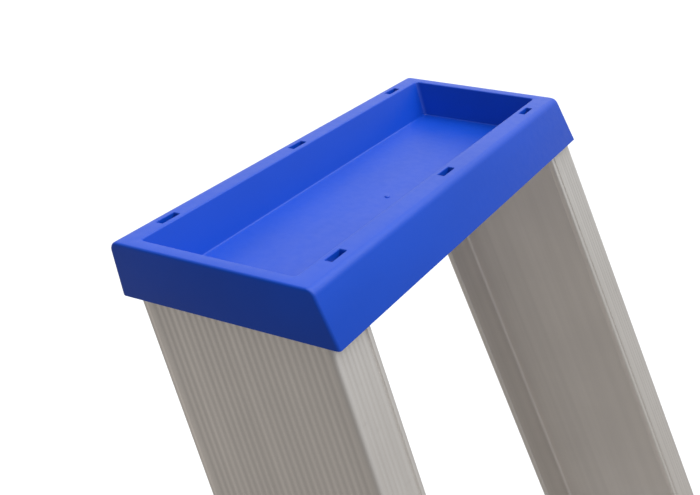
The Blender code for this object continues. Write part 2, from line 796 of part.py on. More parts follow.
def strap_line():
    """The strap's middle line: a tab down the stile, the stretch with a slight sag, a tab up the leg."""
    front, rear = strap_ends()
    tab = 0.030
    down_stile = (front_point(0, 0, -1) - front_point(0, 0, 0)) * tab
    up_leg = (rear_point(0, 0, -1) - rear_point(0, 0, 0)) * tab
    line = [front + down_stile, front + down_stile * 0.12]
    steps = 10
    for k in range(1, steps):
        t = k / steps
        point = front.lerp(rear, t)
        line.append(point - Vector((0, 0, 0.010 * 4 * t * (1 - t))))
    return [*line, rear + up_leg * 0.12, rear + up_leg]


def make_strap(word, side, frame):
    line = strap_line()
    half = STRAP_THICK / 2
    upper, lower = [], []
    for i, point in enumerate(line):
        before, after = line[max(i - 1, 0)], line[min(i + 1, len(line) - 1)]
        along = (after - before).normalized()
        square = Vector((0, -along.z, along.y)) * half
        upper.append(point + square)
        lower.append(point - square)
    outline = [(p.y, p.z) for p in upper + lower[::-1]]
    middle = strap_x(side)
    strap = prism(
        [outline],
        lambda y, z: (middle - STRAP_WIDTH / 2, y, z),
        lambda y, z: (middle + STRAP_WIDTH / 2, y, z),
    )
    strap = add("spread_strap_" + word, strap, WEBBING, frame)
    cut(
        strap,
        [
            drill(strap_front_place(side), front_normal(), SCREW_RADIUS + GAP, 0.012),
            drill(strap_rear_place(side), rear_normal(), SCREW_RADIUS + GAP, 0.012),
        ],
    )


def make_strap_rivets(word, side, frame, rear):
    lift = 2 * GAP + STRAP_THICK
    for end, place, out, carrier in (
        ("front", strap_front_place(side), front_normal(), frame),
        ("rear", strap_rear_place(side), -rear_normal(), rear),
    ):
        name = f"strap_rivet_{end}_{word}"
        fastener(name, place + out * lift, -out, SCREW_RADIUS, 0.0075, 0.0065, 0.0016, carrier)


# ---------------------------------------------------------------- the whole ladder
def main():
    clear_scene()
    frame = body("front_frame", Vector((0, FLOOR_Y, 0)))
    rear = body("rear_frame", HINGE)
    platform = body("platform", PIVOT)
    for word, side in SIDES:
        make_stile(word, side, frame)
        make_front_foot(word, side, frame)
        make_bracket(word, side, frame)
        make_leg(word, side, rear)
        make_hinge_block(word, side, rear)
        make_brace(word, side, rear)
        make_strap(word, side, frame)
        make_strap_rivets(word, side, frame, rear)
    for number in range(1, TREADS + 1):
        make_tread(number, frame)
        make_tread_rods(number, frame)
    make_tray(frame)
    make_tray_screws(frame)
    make_hinge_hardware(frame)
    make_platform(platform)
    for word, down in crossbar_downs():
        make_crossbar(word, down, rear)


main()
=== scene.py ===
"""Looks of the platform step ladder: detailed pieces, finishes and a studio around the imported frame."""

import json
import math

import bmesh
import bpy
from bpy.props import FloatProperty, FloatVectorProperty, IntProperty, PointerProperty
from mathutils import Matrix, Vector
from mathutils.geometry import tessellate_polygon


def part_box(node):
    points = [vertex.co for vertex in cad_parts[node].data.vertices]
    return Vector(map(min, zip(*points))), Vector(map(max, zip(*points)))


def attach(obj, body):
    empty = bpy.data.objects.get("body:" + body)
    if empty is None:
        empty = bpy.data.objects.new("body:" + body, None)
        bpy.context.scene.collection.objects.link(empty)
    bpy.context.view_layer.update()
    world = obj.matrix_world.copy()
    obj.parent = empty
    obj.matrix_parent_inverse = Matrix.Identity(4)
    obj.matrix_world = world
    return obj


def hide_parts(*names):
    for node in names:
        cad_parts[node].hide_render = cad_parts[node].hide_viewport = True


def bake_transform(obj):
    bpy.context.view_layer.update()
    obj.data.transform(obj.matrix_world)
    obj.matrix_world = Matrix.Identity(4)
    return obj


bl_info = {
    "name": "Platform Step Ladder",
    "version": (1, 0, 0),
    "blender": (4, 5, 0),
    "location": "View3D > Sidebar > Ladder",
    "description": "Builds the visible pieces of a folding platform step ladder with a tool tray",
    "category": "Object",
}

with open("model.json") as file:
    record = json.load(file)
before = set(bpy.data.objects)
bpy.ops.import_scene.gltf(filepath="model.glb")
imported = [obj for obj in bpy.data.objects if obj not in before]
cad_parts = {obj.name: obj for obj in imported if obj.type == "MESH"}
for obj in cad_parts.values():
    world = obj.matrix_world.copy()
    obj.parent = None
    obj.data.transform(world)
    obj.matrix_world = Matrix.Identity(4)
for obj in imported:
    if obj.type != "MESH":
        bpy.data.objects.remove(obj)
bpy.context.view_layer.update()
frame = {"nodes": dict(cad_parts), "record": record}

MM = 0.001
GAP = 0.0003
SIDES = (("left", -1), ("right", 1))
JOINTS = {joint["name"]: joint for joint in frame["record"]["behaviour"]["joints"]}
MOUNTS = {mount["name"]: Vector(mount["pos_m"]) for mount in frame["record"]["mounts"]}
HINGE = Vector(JOINTS["rear_fold"]["pos_m"])
PIVOT = Vector(JOINTS["platform_tilt"]["pos_m"])
TRAY_LOW, TRAY_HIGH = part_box("tool_tray")
DECK_LOW, DECK_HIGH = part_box("platform_deck")
TUBE_LOW, TUBE_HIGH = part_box("support_tube")
FLOOR_Y = MOUNTS["front_foot_left_base"].y
TRAY_Y = MOUNTS["tray_floor"].y + 10 * MM
TRAY_TOP = TRAY_HIGH.z
TREADS = sorted(name for name in frame["nodes"] if name.startswith("tread_") and name[6:].isdigit())

LEAN = math.radians(23.12)
REAR_LEAN = math.radians(17.0)
SPLAY = 0.0736
SIN_L, COS_L = math.sin(LEAN), math.cos(LEAN)
SIN_R, COS_R = math.sin(REAR_LEAN), math.cos(REAR_LEAN)
TILT = math.atan(SPLAY)
STILE_HALF = 0.040  # from a stile's middle line to its front and rear faces
LEG_HALF = 0.0225
LEG_START = 0.030  # from the hinge axis down to the top of a rear leg
ROD_OFFSET = 0.024  # a tie rod, forward and back of a tread's middle
TRAY_SEAT = 0.0115  # from the tray's lowest point up to where the half width at the tray is measured
SCREW_DROP = 0.0065  # from there down to the tray's screws
SCREW_IN = 0.011  # from the web's outer face to a tray screw
EDGE_RECESS = 0.00036  # how far the strip along the web's rear edge lies below the web
LIP_WIDTH = 0.0040  # width of the thicker edge of a flange
BOLT_BORE = 0.0045  # radius of the holes that the bolts pass through
TENON_START = 0.006  # overlap of a knuckle's tenon with its collar
TENON_END = 0.062  # from the hinge axis down to the end of the tenon
BAR_WALL = 0.0015
FOOT_WALL = 0.0030
SOCKET_FLOOR, SOCKET_TOP = 0.006, 0.060  # heights of the socket in a foot
SOLE_PITCHES = 6
STRAP_DOWN = 0.70  # from the hinge axis to the straps, along both frames
STRAP_TAB = 0.030  # part of a strap that lies on the metal
STRAP_SAG = 0.010
STRAP_BEND = 0.005  # length of the bend where a strap leaves the metal
STRAP_THICK = 0.0015
HEM_LENGTH = 0.009
HEM_THICK = 0.0009
HEM_SLOPE = 0.0012  # length over which a hem swells
RIVET_IN = 0.012  # a strap's rivet, from the strap's end
FLOOR_RADIUS = 40.0
SOFTBOX_FROM = (0.15, -0.35, 0.92)
BACKDROP_FROM = (0.45, 1.0, 0.10)
SHEEN_FROM = (0.80, 0.43, 0.36)
SHEEN_FOCUS = 4.0
FILL_FROM = (-0.22, -0.92, 0.22)
KEY_FROM = (0.35, -0.38, 1.0)
KEY_COLOUR = (0.94, 0.98, 1.0)
KEY_SPREAD = math.radians(70.0)
WHITE = (1.0, 1.0, 1.0, 1.0)
LENS = 58.15  # millimetres, on a sensor 36 wide
SENSOR = 36.0
CAMERA_FROM_TRAY = (-0.4358, -0.2230, 0.1743)  # from the middle of the tray's top
CAMERA_YAW, CAMERA_PITCH = math.radians(28.12), math.radians(24.15)


# ---------------------------------------------------------------- sizes and colours a user would change
def length(name, description, default, low=0.0):
    return FloatProperty(
        name=name, description=description, default=default, min=low, precision=4, unit="LENGTH"
    )


def number(name, description, default, low):
    return IntProperty(name=name, description=description, default=default, min=low)


def light(name, description, default):
    return FloatProperty(name=name, description=description, default=default, min=0.0)


def colour(name, description, default):
    return FloatVectorProperty(
        name=name, description=description, default=default, min=0.0, max=1.0, size=3, subtype="COLOR"
    )


class TraySizes(bpy.types.PropertyGroup):
    span: length("Length", "Length of the tray's rim across the ladder", 0.2624)
    width: length("Width", "Width of the tray's rim from front to back", 0.0898)
    skirt: length("Skirt", "Height of the skirt around the tray", 0.0215)
    wall: length("Wall", "Thickness of the moulding", 0.0022)
    rim_long: length("Long rim", "Width of the rim along the two long sides", 0.0104)
    rim_end: length("End rim", "Width of the rim at the two ends", 0.0068)
    pocket: length("Pocket depth", "Depth of the tray's pocket", 0.0175)
    slot_length: length("Slot length", "Length of each slot in the rim", 0.0115)
    slot_width: length("Slot width", "Width of each slot in the rim", 0.0030)
    slot_pitch: length("Slot pitch", "Distance between two slots along the rim", 0.1015)
    slot_inset: length("Slot inset", "From the rim's outer edge to the middle of a slot", 0.0066)
    rear_radius: length("Rear edge", "Rounding of the rim's rear edge", 0.0040)
    front_radius: length("Front edge", "Rounding of the rim's front edge", 0.0024)
    end_radius: length("End edge", "Rounding of the rim's edge at the ends", 0.0010)
    plastic: colour("Plastic", "Colour of the blue moulded plastic", (0.003, 0.069, 0.560))


class StileSizes(bpy.types.PropertyGroup):
    depth: length("Depth", "Width of the channel's web", 0.080)
    flange: length("Flange", "Width of the channel's flanges", 0.0275)
    wall: length("Wall", "Thickness of the channel", 0.0020)
    lip: length("Lip", "Thickness of the free edge of the flanges", 0.0030)
    top_half_width: length(
        "Half width at the tray", "Web's outer face where the middle line meets the tray", 0.1291
    )
    web_ribs: number("Web ribs", "Ribs across the outside of the web", 24, 0)
    flange_ribs: number("Flange ribs", "Ribs across the front flange", 6, 0)
    rib_depth: length("Rib depth", "Height of the ribs", 0.00011)
    metal: colour("Aluminium", "Colour of the bare extrusions", (0.86, 0.83, 0.80))


class StepSizes(bpy.types.PropertyGroup):
    rise: length("Rise", "Height from one tread to the next", 0.230)
    tread_depth: length("Tread depth", "Depth of a tread from front to back", 0.0798)
    tread_height: length("Tread height", "Height of a tread's section", 0.026)
    tread_ribs: number("Tread ribs", "Ribs on each tread", 16, 1)
    deck_ribs: number("Deck ribs", "Ribs on the platform", 36, 1)
    rib_height: length("Rib height", "Height of the grip ribs", 0.0007)


class RearSizes(bpy.types.PropertyGroup):
    depth: length("Leg depth", "Depth of a rear leg's section", 0.045)
    width: length("Leg width", "Width of a rear leg's section", 0.022)
    wall: length("Leg wall", "Thickness of a rear leg's wall", 0.0016)
    inset: length("Inset", "Distance of a rear leg's outer face inside the stile's", 0.002)
    bar_depth: length("Crossbar depth", "Depth of a crossbar's section", 0.020)
    bar_height: length("Crossbar height", "Height of a crossbar's section", 0.034)
    strap_width: length("Strap width", "Width of the spreader straps", 0.020)
    rubber: colour("Rubber", "Colour of the rubber feet", (0.030, 0.031, 0.033))
    webbing: colour("Webbing", "Colour of the spreader straps", (0.030, 0.075, 0.330))


class FixingSizes(bpy.types.PropertyGroup):
    bracket: length("Plate", "Thickness of the hinge plates and braces", 0.0030)
    bolt_head: length("Bolt head", "Radius across the corners of a bolt's head", 0.0085)
    bolt_height: length("Bolt head height", "Height of a bolt's head", 0.0045)
    rivet_head: length("Rivet head", "Radius of a rivet's head", 0.0038)
    rivet_height: length("Rivet head height", "Height of a rivet's head", 0.0013)


class StudioSettings(bpy.types.PropertyGroup):
    floor: colour("Floor", "Colour of the studio floor", (0.90, 0.90, 0.90))
    even: light("Even light", "Light from every side", 0.06)
    bounce: light("Bounce", "Light that comes up from the floor", 0.26)
    bounce_tint: colour("Bounce tint", "Colour of the light that comes up from the floor", (1.0, 0.94, 0.88))
    softbox: light("Softbox", "Broad light from above and in front", 0.56)
    fill: light("Fill", "Broad light from the front and the left", 0.09)
    backdrop: light("Backdrop", "Light from behind the ladder", 0.42)
    sheen: light("Sheen", "Narrower light from behind and the right", 0.48)
    key: light("Key light", "Strength of the soft main light", 2.5)


# ---------------------------------------------------------------- places on the ladder
def front_point(x, across, up):
    """A point of the climbing frame: across is square to it and rearward, up runs along it from the floor."""
    return Vector((x, FLOOR_Y + across * COS_L + up * SIN_L, up * COS_L - across * SIN_L))


def front_axes(point):
    y = point.y - FLOOR_Y
    return y * COS_L - point.z * SIN_L, y * SIN_L + point.z * COS_L


def up_at(across, z):
    return (z + across * SIN_L) / COS_L


def rear_point(x, across, down):
    """A point of the rear frame: across is square to it and rearward, down runs along it from the hinge."""
    return Vector((x, HINGE.y + across * COS_R + down * SIN_R, HINGE.z + across * SIN_R - down * COS_R))


def down_at(across, z):
    return (HINGE.z + across * SIN_R - z) / COS_R


def half_width(up):
    """Outer face of a stile's web."""
    stile = bpy.context.scene.ladder_stile
    return stile.top_half_width + SPLAY * ((TRAY_LOW.z + TRAY_SEAT) / COS_L - up)


def leg_half_width(down):
    """Outer face of a rear leg."""
    hinge_up = front_axes(HINGE)[1]
    return half_width(hinge_up) - bpy.context.scene.ladder_rear.inset + SPLAY * down


def on_stile(side, inward, across, up):
    x = side * (half_width(up) - inward * math.cos(TILT))
    return front_point(x, across, up - inward * math.sin(TILT))


def level_on_stile(side, height):
    """Carries a stile's section, inward and across, to a level cut at a height."""

    def place(inward, across):
        return on_stile(side, inward, across, up_at(across, height) + inward * math.sin(TILT))

    return place


def on_leg(side, at):
    """Carries a leg's section, outward from its inner face and across, to a place along the leg."""
    width = bpy.context.scene.ladder_rear.width

    def place(outward, across):
        down = at(across)
        return rear_point(side * (leg_half_width(down) - width + outward), across, down)

    return place


def front_normal():
    return Vector((0, COS_L, -SIN_L))


def rear_normal():
    return Vector((0, COS_R, SIN_R))


# ---------------------------------------------------------------- outlines and solids
def arc(before, corner, after, radius, steps):
    """The points that round off one corner of an outline."""
    here = Vector(corner)
    back = (Vector(before) - here).normalized()
    on = (Vector(after) - here).normalized()
    half = back.angle(on) / 2
    centre = here + (back + on).normalized() * (radius / math.sin(half))
    first = here + back * (radius / math.tan(half)) - centre
    last = here + on * (radius / math.tan(half)) - centre
    return [centre + first.lerp(last, k / steps).normalized() * radius for k in range(steps + 1)]


def rounded(corners, radii, steps=4, edges=None):
    """The outline through these corners, each turned into an arc. edges adds points after a corner."""
    count = len(corners)
    radii = radii if isinstance(radii, list) else [radii] * count
    outline = []
    for i, corner in enumerate(corners):
        if radii[i]:
            outline += arc(corners[i - 1], corner, corners[(i + 1) % count], radii[i], steps)
        else:
            outline.append(Vector(corner))
        if edges and i in edges:
            outline += edges[i]
    return [tuple(point) for point in outline]


def rectangle(a0, a1, b0, b1):
    return [(a0, b0), (a1, b0), (a1, b1), (a0, b1)]


def circle(a, b, radius, steps):
    turn = 2 * math.pi / steps
    return [(a + radius * math.cos(turn * k), b + radius * math.sin(turn * k)) for k in range(steps)]


def face_outward(bm):
    bmesh.ops.recalc_face_normals(bm, faces=bm.faces)
    if bm.calc_volume(signed=True) < 0:
        bmesh.ops.reverse_faces(bm, faces=bm.faces)
    return bm


def prism(loops, near, far):
    """A closed solid whose section has holes: near and far carry each outline point to its two ends."""
    triangles = tessellate_polygon([[Vector((a, b, 0)) for a, b in loop] for loop in loops])
    points = [point for loop in loops for point in loop]
    bm = bmesh.new()
    ends = [[bm.verts.new(place(a, b)) for a, b in points] for place in (near, far)]
    for i, j, k in triangles:
        bm.faces.new((ends[0][i], ends[0][j], ends[0][k]))
        bm.faces.new((ends[1][k], ends[1][j], ends[1][i]))
    start = 0
    for loop in loops:
        for i in range(len(loop)):
            here, on = start + i, start + (i + 1) % len(loop)
            bm.faces.new((ends[0][here], ends[0][on], ends[1][on], ends[1][here]))
        start += len(loop)
    return face_outward(bm)


def lofted(rings):
    """A closed solid through rings with the same number of points, with a flat face at each end."""
    bm = bmesh.new()
    rows = [[bm.verts.new(point) for point in ring] for ring in rings]
    count = len(rows[0])
    for lower, upper in zip(rows, rows[1:]):
        for i in range(count):
            on = (i + 1) % count
            bm.faces.new((lower[i], lower[on], upper[on], upper[i]))
    bm.faces.new(list(reversed(rows[0])))
    bm.faces.new(rows[-1])
    return face_outward(bm)


def block(outline, near, far):
    return lofted([[place(a, b) for a, b in outline] for place in (near, far)])


def standing(base, axis):
    """The place of a shape whose own Z stands along an axis."""
    return Matrix.Translation(base) @ Vector(axis).to_track_quat("Z", "Y").to_matrix().to_4x4()


def turned(profile, base, axis, steps=32):
    """A solid of revolution: profile is a closed outline of (radius, height along the axis)."""
    bm = bmesh.new()
    corners = [bm.verts.new((radius, 0, height)) for radius, height in profile]
    edges = []
    for i, corner in enumerate(corners):
        after = (i + 1) % len(corners)
        if profile[i][0] > 0 or profile[after][0] > 0:
            edges.append(bm.edges.new((corner, corners[after])))
    bmesh.ops.spin(bm, geom=corners + edges, cent=(0, 0, 0), axis=(0, 0, 1), angle=2 * math.pi, steps=steps)
    bmesh.ops.remove_doubles(bm, verts=bm.verts, dist=1e-7)
    bm.transform(standing(base, axis))
    return face_outward(bm)


def soften(bm, width, limit=35.0, segments=2):
    """Rounds every edge that turns by more than the limit."""
    bmesh.ops.dissolve_limit(bm, angle_limit=math.radians(0.5), verts=bm.verts, edges=bm.edges)
    edges = [edge for edge in bm.edges if edge.is_manifold and edge.calc_face_angle() > math.radians(limit)]
    bmesh.ops.bevel(
        bm, geom=edges, offset=width, segments=segments, profile=0.5, affect="EDGES", clamp_overlap=True
    )
    return bm


def merged(parts):
    """Several closed shapes in one mesh."""
    mesh = bpy.data.meshes.new("joined")
    whole = bmesh.new()
    for part in parts:
        part.to_mesh(mesh)
        part.free()
        whole.from_mesh(mesh)
    bpy.data.meshes.remove(mesh)
    return whole


def plain_object(name, bm):
    mesh = bpy.data.meshes.new(name)
    bm.to_mesh(mesh)
    bm.free()
    obj = bpy.data.objects.new(name, mesh)
    bpy.context.scene.collection.objects.link(obj)
    return obj


def evaluated_mesh(obj):
    """The object's mesh with its modifiers applied."""
    graph = bpy.context.evaluated_depsgraph_get()
    return bpy.data.meshes.new_from_object(obj.evaluated_get(graph))


def carved(base, cutters):
    """The base shape with the cutters taken away."""
    block_obj, tool = plain_object("base", base), plain_object("tool", merged(cutters))
    modifier = block_obj.modifiers.new("cut", "BOOLEAN")
    modifier.operation = "DIFFERENCE"
    modifier.solver = "EXACT"
    modifier.object = tool
    mesh = evaluated_mesh(block_obj)
    bm = bmesh.new()
    bm.from_mesh(mesh)
    for obj in (block_obj, tool):
        bpy.data.objects.remove(obj)
    bpy.data.meshes.remove(mesh)
    bmesh.ops.remove_doubles(bm, verts=bm.verts, dist=1e-6)
    return bm


def settle(obj, body, nodes=()):
    """Hangs a finished piece on its body and lets it stand for its nodes."""
    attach(obj, body)
    if nodes:
        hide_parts(*nodes)
    return obj


def smooth(mesh, limit=32.0):
    mesh.shade_smooth()
    mesh.set_sharp_from_angle(angle=math.radians(limit))


def piece(name, bm, material, body, nodes=(), limit=32.0):
    obj = plain_object(name, bm)
    smooth(obj.data, limit)
    obj.data.materials.append(material)
    return settle(obj, body, nodes)


# ---------------------------------------------------------------- finishes
class Nodes:
    """A node tree under construction."""

    def __init__(self, tree):
        self.tree = tree

    def node(self, kind, inputs=None, **settings):
        """A node with its settings; each input is a value or another node's output."""
        made = self.tree.nodes.new(kind)
        for key, value in settings.items():
            setattr(made, key, value)
        for key, value in (inputs or {}).items():
            if isinstance(value, bpy.types.NodeSocket):
                self.tree.links.new(value, made.inputs[key])
            else:
                made.inputs[key].default_value = value
        return made

    def math(self, operation, *values):
        return self.node("ShaderNodeMath", dict(enumerate(values)), operation=operation).outputs[0]

    def smoothstep(self, value, low, high, to_low, to_high):
        inputs = {0: value, 1: low, 2: high, 3: to_low, 4: to_high}
        return self.node("ShaderNodeMapRange", inputs, interpolation_type="SMOOTHSTEP").outputs[0]


class Finish(Nodes):
    """A node material under construction."""

    def __init__(self, name, base, roughness, metallic=0.0, **constants):
        self.material = bpy.data.materials.new(name)
        self.material.use_nodes = True
        self.material.diffuse_color = (*base, 1.0)
        super().__init__(self.material.node_tree)
        self.shader = self.tree.nodes["Principled BSDF"]
        self.shader.inputs["Base Color"].default_value = (*base, 1.0)
        self.shader.inputs["Roughness"].default_value = roughness
        self.shader.inputs["Metallic"].default_value = metallic
        for socket, value in constants.items():
            self.shader.inputs[socket.replace("_", " ")].default_value = value
        self.place = self.node("ShaderNodeTexCoord").outputs["Object"]
        self.bump = None

    def mapped(self, scale, rotation=(0.0, 0.0, 0.0), source=None):
        """Coordinates in metres, turned and then scaled."""
        turn = self.node("ShaderNodeMapping", {"Vector": source or self.place, "Rotation": rotation})
        return self.node("ShaderNodeMapping", {"Vector": turn.outputs[0], "Scale": scale}).outputs[0]

    def noise(self, vector, scale=1.0, detail=3.0, roughness=0.5):
        made = self.node(
            "ShaderNodeTexNoise", {"Vector": vector, "Scale": scale, "Detail": detail, "Roughness": roughness}
        )
        return made.outputs["Fac"]

    def remap(self, value, low, high, to_low, to_high):
        inputs = {0: value, 1: low, 2: high, 3: to_low, 4: to_high}
        return self.node("ShaderNodeMapRange", inputs, interpolation_type="LINEAR").outputs[0]

    def mix(self, amount, first, second, blend="MIX"):
        made = self.node("ShaderNodeMix", data_type="RGBA", blend_type=blend)
        for index, value in ((0, amount), (6, first), (7, second)):
            if isinstance(value, bpy.types.NodeSocket):
                self.tree.links.new(value, made.inputs[index])
            elif index:
                made.inputs[index].default_value = (*value, 1.0)
            else:
                made.inputs[index].default_value = value
        return made.outputs[2]

    def relief(self, height, distance, strength=1.0):
        """Adds a height pattern to the surface."""
        inputs = {"Height": height, "Distance": distance, "Strength": strength}
        if self.bump:
            inputs["Normal"] = self.bump
        self.bump = self.node("ShaderNodeBump", inputs).outputs[0]

    def set(self, socket, value):
        self.tree.links.new(value, self.shader.inputs[socket])

    def done(self):
        if self.bump:
            self.set("Normal", self.bump)
        return self.material


def shade(base, factor):
    return tuple(min(1.0, channel * factor) for channel in base)


def turn_to(direction):
    """The turn that brings a direction onto Z."""
    return tuple(Vector(direction).rotation_difference(Vector((0, 0, 1))).to_euler())


def extruded_aluminium(name, direction, base, roughness=0.46, grain=1.0):
    """Bare extrusion: die lines along it, a faint cloudy tone and light handling marks."""
    look = Finish(name, base, roughness, 0.93)
    lines_at = look.mapped((1400.0, 1400.0, 5.0), turn_to(direction))
    lines = look.noise(lines_at, 1.0, 2.0, 0.6)
    broad_at = look.mapped((180.0, 180.0, 1.2), turn_to(direction))
    broad = look.noise(broad_at, 1.0, 2.0)
    cloud = look.noise(look.place, 14.0, 4.0, 0.6)
    marks = look.noise(look.mapped((90.0, 90.0, 700.0), turn_to(direction)), 1.0, 1.0)
    marks = look.remap(marks, 0.70, 0.76, 0.0, 1.0)
    tone = look.mix(look.remap(broad, 0.3, 0.7, 0.0, 1.0), shade(base, 0.95), shade(base, 1.04))
    tone = look.mix(look.remap(cloud, 0.35, 0.75, 0.0, 0.5), tone, shade(base, 0.90))
    look.set("Base Color", tone)
    rough = look.remap(lines, 0.25, 0.75, roughness - 0.05, roughness + 0.06)
    rough = look.math("ADD", rough, look.remap(cloud, 0.3, 0.7, -0.02, 0.04))
    look.set("Roughness", look.math("SUBTRACT", rough, look.math("MULTIPLY", marks, 0.06)))
    look.relief(lines, 0.00004 * grain, 0.5)
    look.relief(cloud, 0.0004, 0.15)
    return look.done()


def rolled_plate(name, base):
    """Blasted plate: even fine grain with a few bright rubs."""
    look = Finish(name, base, 0.45, 0.9)
    grain = look.noise(look.place, 1800.0, 2.0, 0.7)
    cloud = look.noise(look.place, 60.0, 3.0)
    cloudy = look.remap(cloud, 0.3, 0.7, 0.0, 1.0)
    look.set("Base Color", look.mix(cloudy, shade(base, 0.9), shade(base, 1.05)))
    look.set("Roughness", look.remap(cloud, 0.3, 0.7, 0.38, 0.50))
    look.relief(grain, 0.00005, 0.5)
    return look.done()


def zinc_steel(name):
    """Plated steel, brighter than the extrusions, with a slight spangle."""
    look = Finish(name, (0.66, 0.67, 0.69), 0.26, 1.0)
    spangle = look.node("ShaderNodeTexVoronoi", {"Vector": look.place, "Scale": 700.0}).outputs["Color"]
    level = look.node("ShaderNodeSeparateColor", {0: spangle}).outputs[0]
    look.set("Base Color", look.mix(level, (0.60, 0.61, 0.62), (0.72, 0.73, 0.76)))
    look.set("Roughness", look.remap(level, 0.0, 1.0, 0.20, 0.34))
    look.relief(look.noise(look.place, 1500.0, 2.0), 0.00003, 0.4)
    return look.done()


def moulded_plastic(name, base, roughness=0.36, texture=1.0):
    """Injection moulding: fine spark-eroded texture, slow flow tones and faint scuffs."""
    look = Finish(name, base, roughness, 0.0, Specular_IOR_Level=0.32)
    fine = look.noise(look.place, 2600.0, 2.0, 0.6)
    peel = look.noise(look.place, 260.0, 2.0)
    flow = look.noise(look.mapped((9.0, 30.0, 30.0)), 1.0, 3.0)
    scuff = look.noise(look.mapped((60.0, 900.0, 900.0), (0.0, 0.0, 0.5)), 1.0, 1.0)
    scuff = look.remap(scuff, 0.74, 0.80, 0.0, 0.35)
    tone = look.mix(look.remap(flow, 0.3, 0.7, 0.0, 1.0), shade(base, 0.95), shade(base, 1.05))
    look.set("Base Color", look.mix(scuff, tone, shade(base, 1.25)))
    rough = look.remap(peel, 0.3, 0.7, roughness - 0.03, roughness + 0.04)
    look.set("Roughness", look.math("ADD", rough, look.math("MULTIPLY", scuff, 0.2)))
    look.relief(fine, 0.00003 * texture, 0.5)
    look.relief(peel, 0.00006 * texture, 0.35)
    return look.done()


def foot_rubber(name, base):
    """Matt rubber with a dusty bloom near the floor."""
    look = Finish(name, base, 0.78, 0.0, Specular_IOR_Level=0.35)
    height = look.node("ShaderNodeSeparateXYZ", {0: look.place}).outputs[2]
    grit = look.noise(look.place, 900.0, 4.0, 0.7)
    low = look.remap(height, 0.0, 0.022, 0.7, 0.0)
    dust = look.math("MULTIPLY", low, look.remap(grit, 0.35, 0.7, 0.0, 1.0))
    look.set("Base Color", look.mix(dust, base, (0.19, 0.18, 0.165)))
    look.set("Roughness", look.remap(grit, 0.3, 0.7, 0.68, 0.88))
    look.relief(grit, 0.00012, 0.5)
    return look.done()


def woven_webbing(name, base):
    """Flat webbing: a herringbone weave on the strap's own UV map, in metres across and along."""
    look = Finish(name, base, 0.82, 0.0, Sheen_Weight=0.35, Sheen_Roughness=0.5)
    uv = look.node("ShaderNodeUVMap", uv_map="strap").outputs[0]
    split = look.node("ShaderNodeSeparateXYZ", {0: uv})
    across, along = split.outputs[0], split.outputs[1]
    row = look.math("MULTIPLY", along, 900.0)
    column = look.math("MULTIPLY", look.math("PINGPONG", across, 0.0025), 700.0)
    twill = look.math("SINE", look.math("MULTIPLY", look.math("ADD", row, column), math.tau))
    cords = look.math("SINE", look.math("MULTIPLY", across, math.tau * 900.0))
    height = look.math("ADD", look.math("MULTIPLY", twill, 0.5), look.math("MULTIPLY", cords, 0.35))
    level = look.remap(height, -0.85, 0.85, 0.0, 1.0)
    fuzz = look.noise(look.place, 2200.0, 3.0)
    tone = look.mix(level, shade(base, 0.62), shade(base, 1.25))
    look.set("Base Color", look.mix(look.remap(fuzz, 0.4, 0.8, 0.0, 0.4), tone, shade(base, 1.6)))
    look.set("Roughness", look.remap(fuzz, 0.3, 0.7, 0.74, 0.90))
    look.relief(level, 0.00025, 0.8)
    look.relief(fuzz, 0.00006, 0.5)
    return look.done()


def thread(name, base):
    look = Finish(name, base, 0.7)
    twist = look.noise(look.place, 3000.0, 1.0)
    look.set("Base Color", look.mix(twist, shade(base, 0.75), shade(base, 1.2)))
    look.relief(twist, 0.00008, 0.6)
    return look.done()


FINISHES = {}


def finish(name):
    """Each finish is made once and shared."""
    if name in FINISHES:
        return FINISHES[name]
    scene = bpy.context.scene
    blue, metal = tuple(scene.ladder_tray.plastic), tuple(scene.ladder_stile.metal)
    rear = scene.ladder_rear
    down_stile = [Vector((side * SPLAY * COS_L, -SIN_L, -COS_L)) for side in (-1, 1)]
    down_leg = [Vector((side * SPLAY, SIN_R, -COS_R)) for side in (-1, 1)]
    makers = {
        "tray_blue": lambda: moulded_plastic("tray_blue", blue, 0.34),
        "fitting_blue": lambda: moulded_plastic("fitting_blue", shade(blue, 0.9), 0.42, 1.6),
        "nylon": lambda: moulded_plastic("nylon", (0.14, 0.15, 0.16), 0.5, 1.5),
        "stile_left": lambda: extruded_aluminium("stile_left", down_stile[0], metal),
        "stile_right": lambda: extruded_aluminium("stile_right", down_stile[1], metal),
        "leg_left": lambda: extruded_aluminium("leg_left", down_leg[0], metal, 0.38),
        "leg_right": lambda: extruded_aluminium("leg_right", down_leg[1], metal, 0.38),
        "cross_aluminium": lambda: extruded_aluminium("cross_aluminium", (1, 0, 0), metal, 0.38),
        "grip": lambda: extruded_aluminium("grip", (1, 0, 0), shade(metal, 1.06), 0.32, 2.0),
        "plate": lambda: rolled_plate("plate", metal),
        "zinc": lambda: zinc_steel("zinc"),
        "rubber": lambda: foot_rubber("rubber", tuple(rear.rubber)),
        "webbing": lambda: woven_webbing("webbing", tuple(rear.webbing)),
        "stitching": lambda: thread("stitching", (0.55, 0.56, 0.60)),
    }
    FINISHES[name] = makers[name]()
    return FINISHES[name]


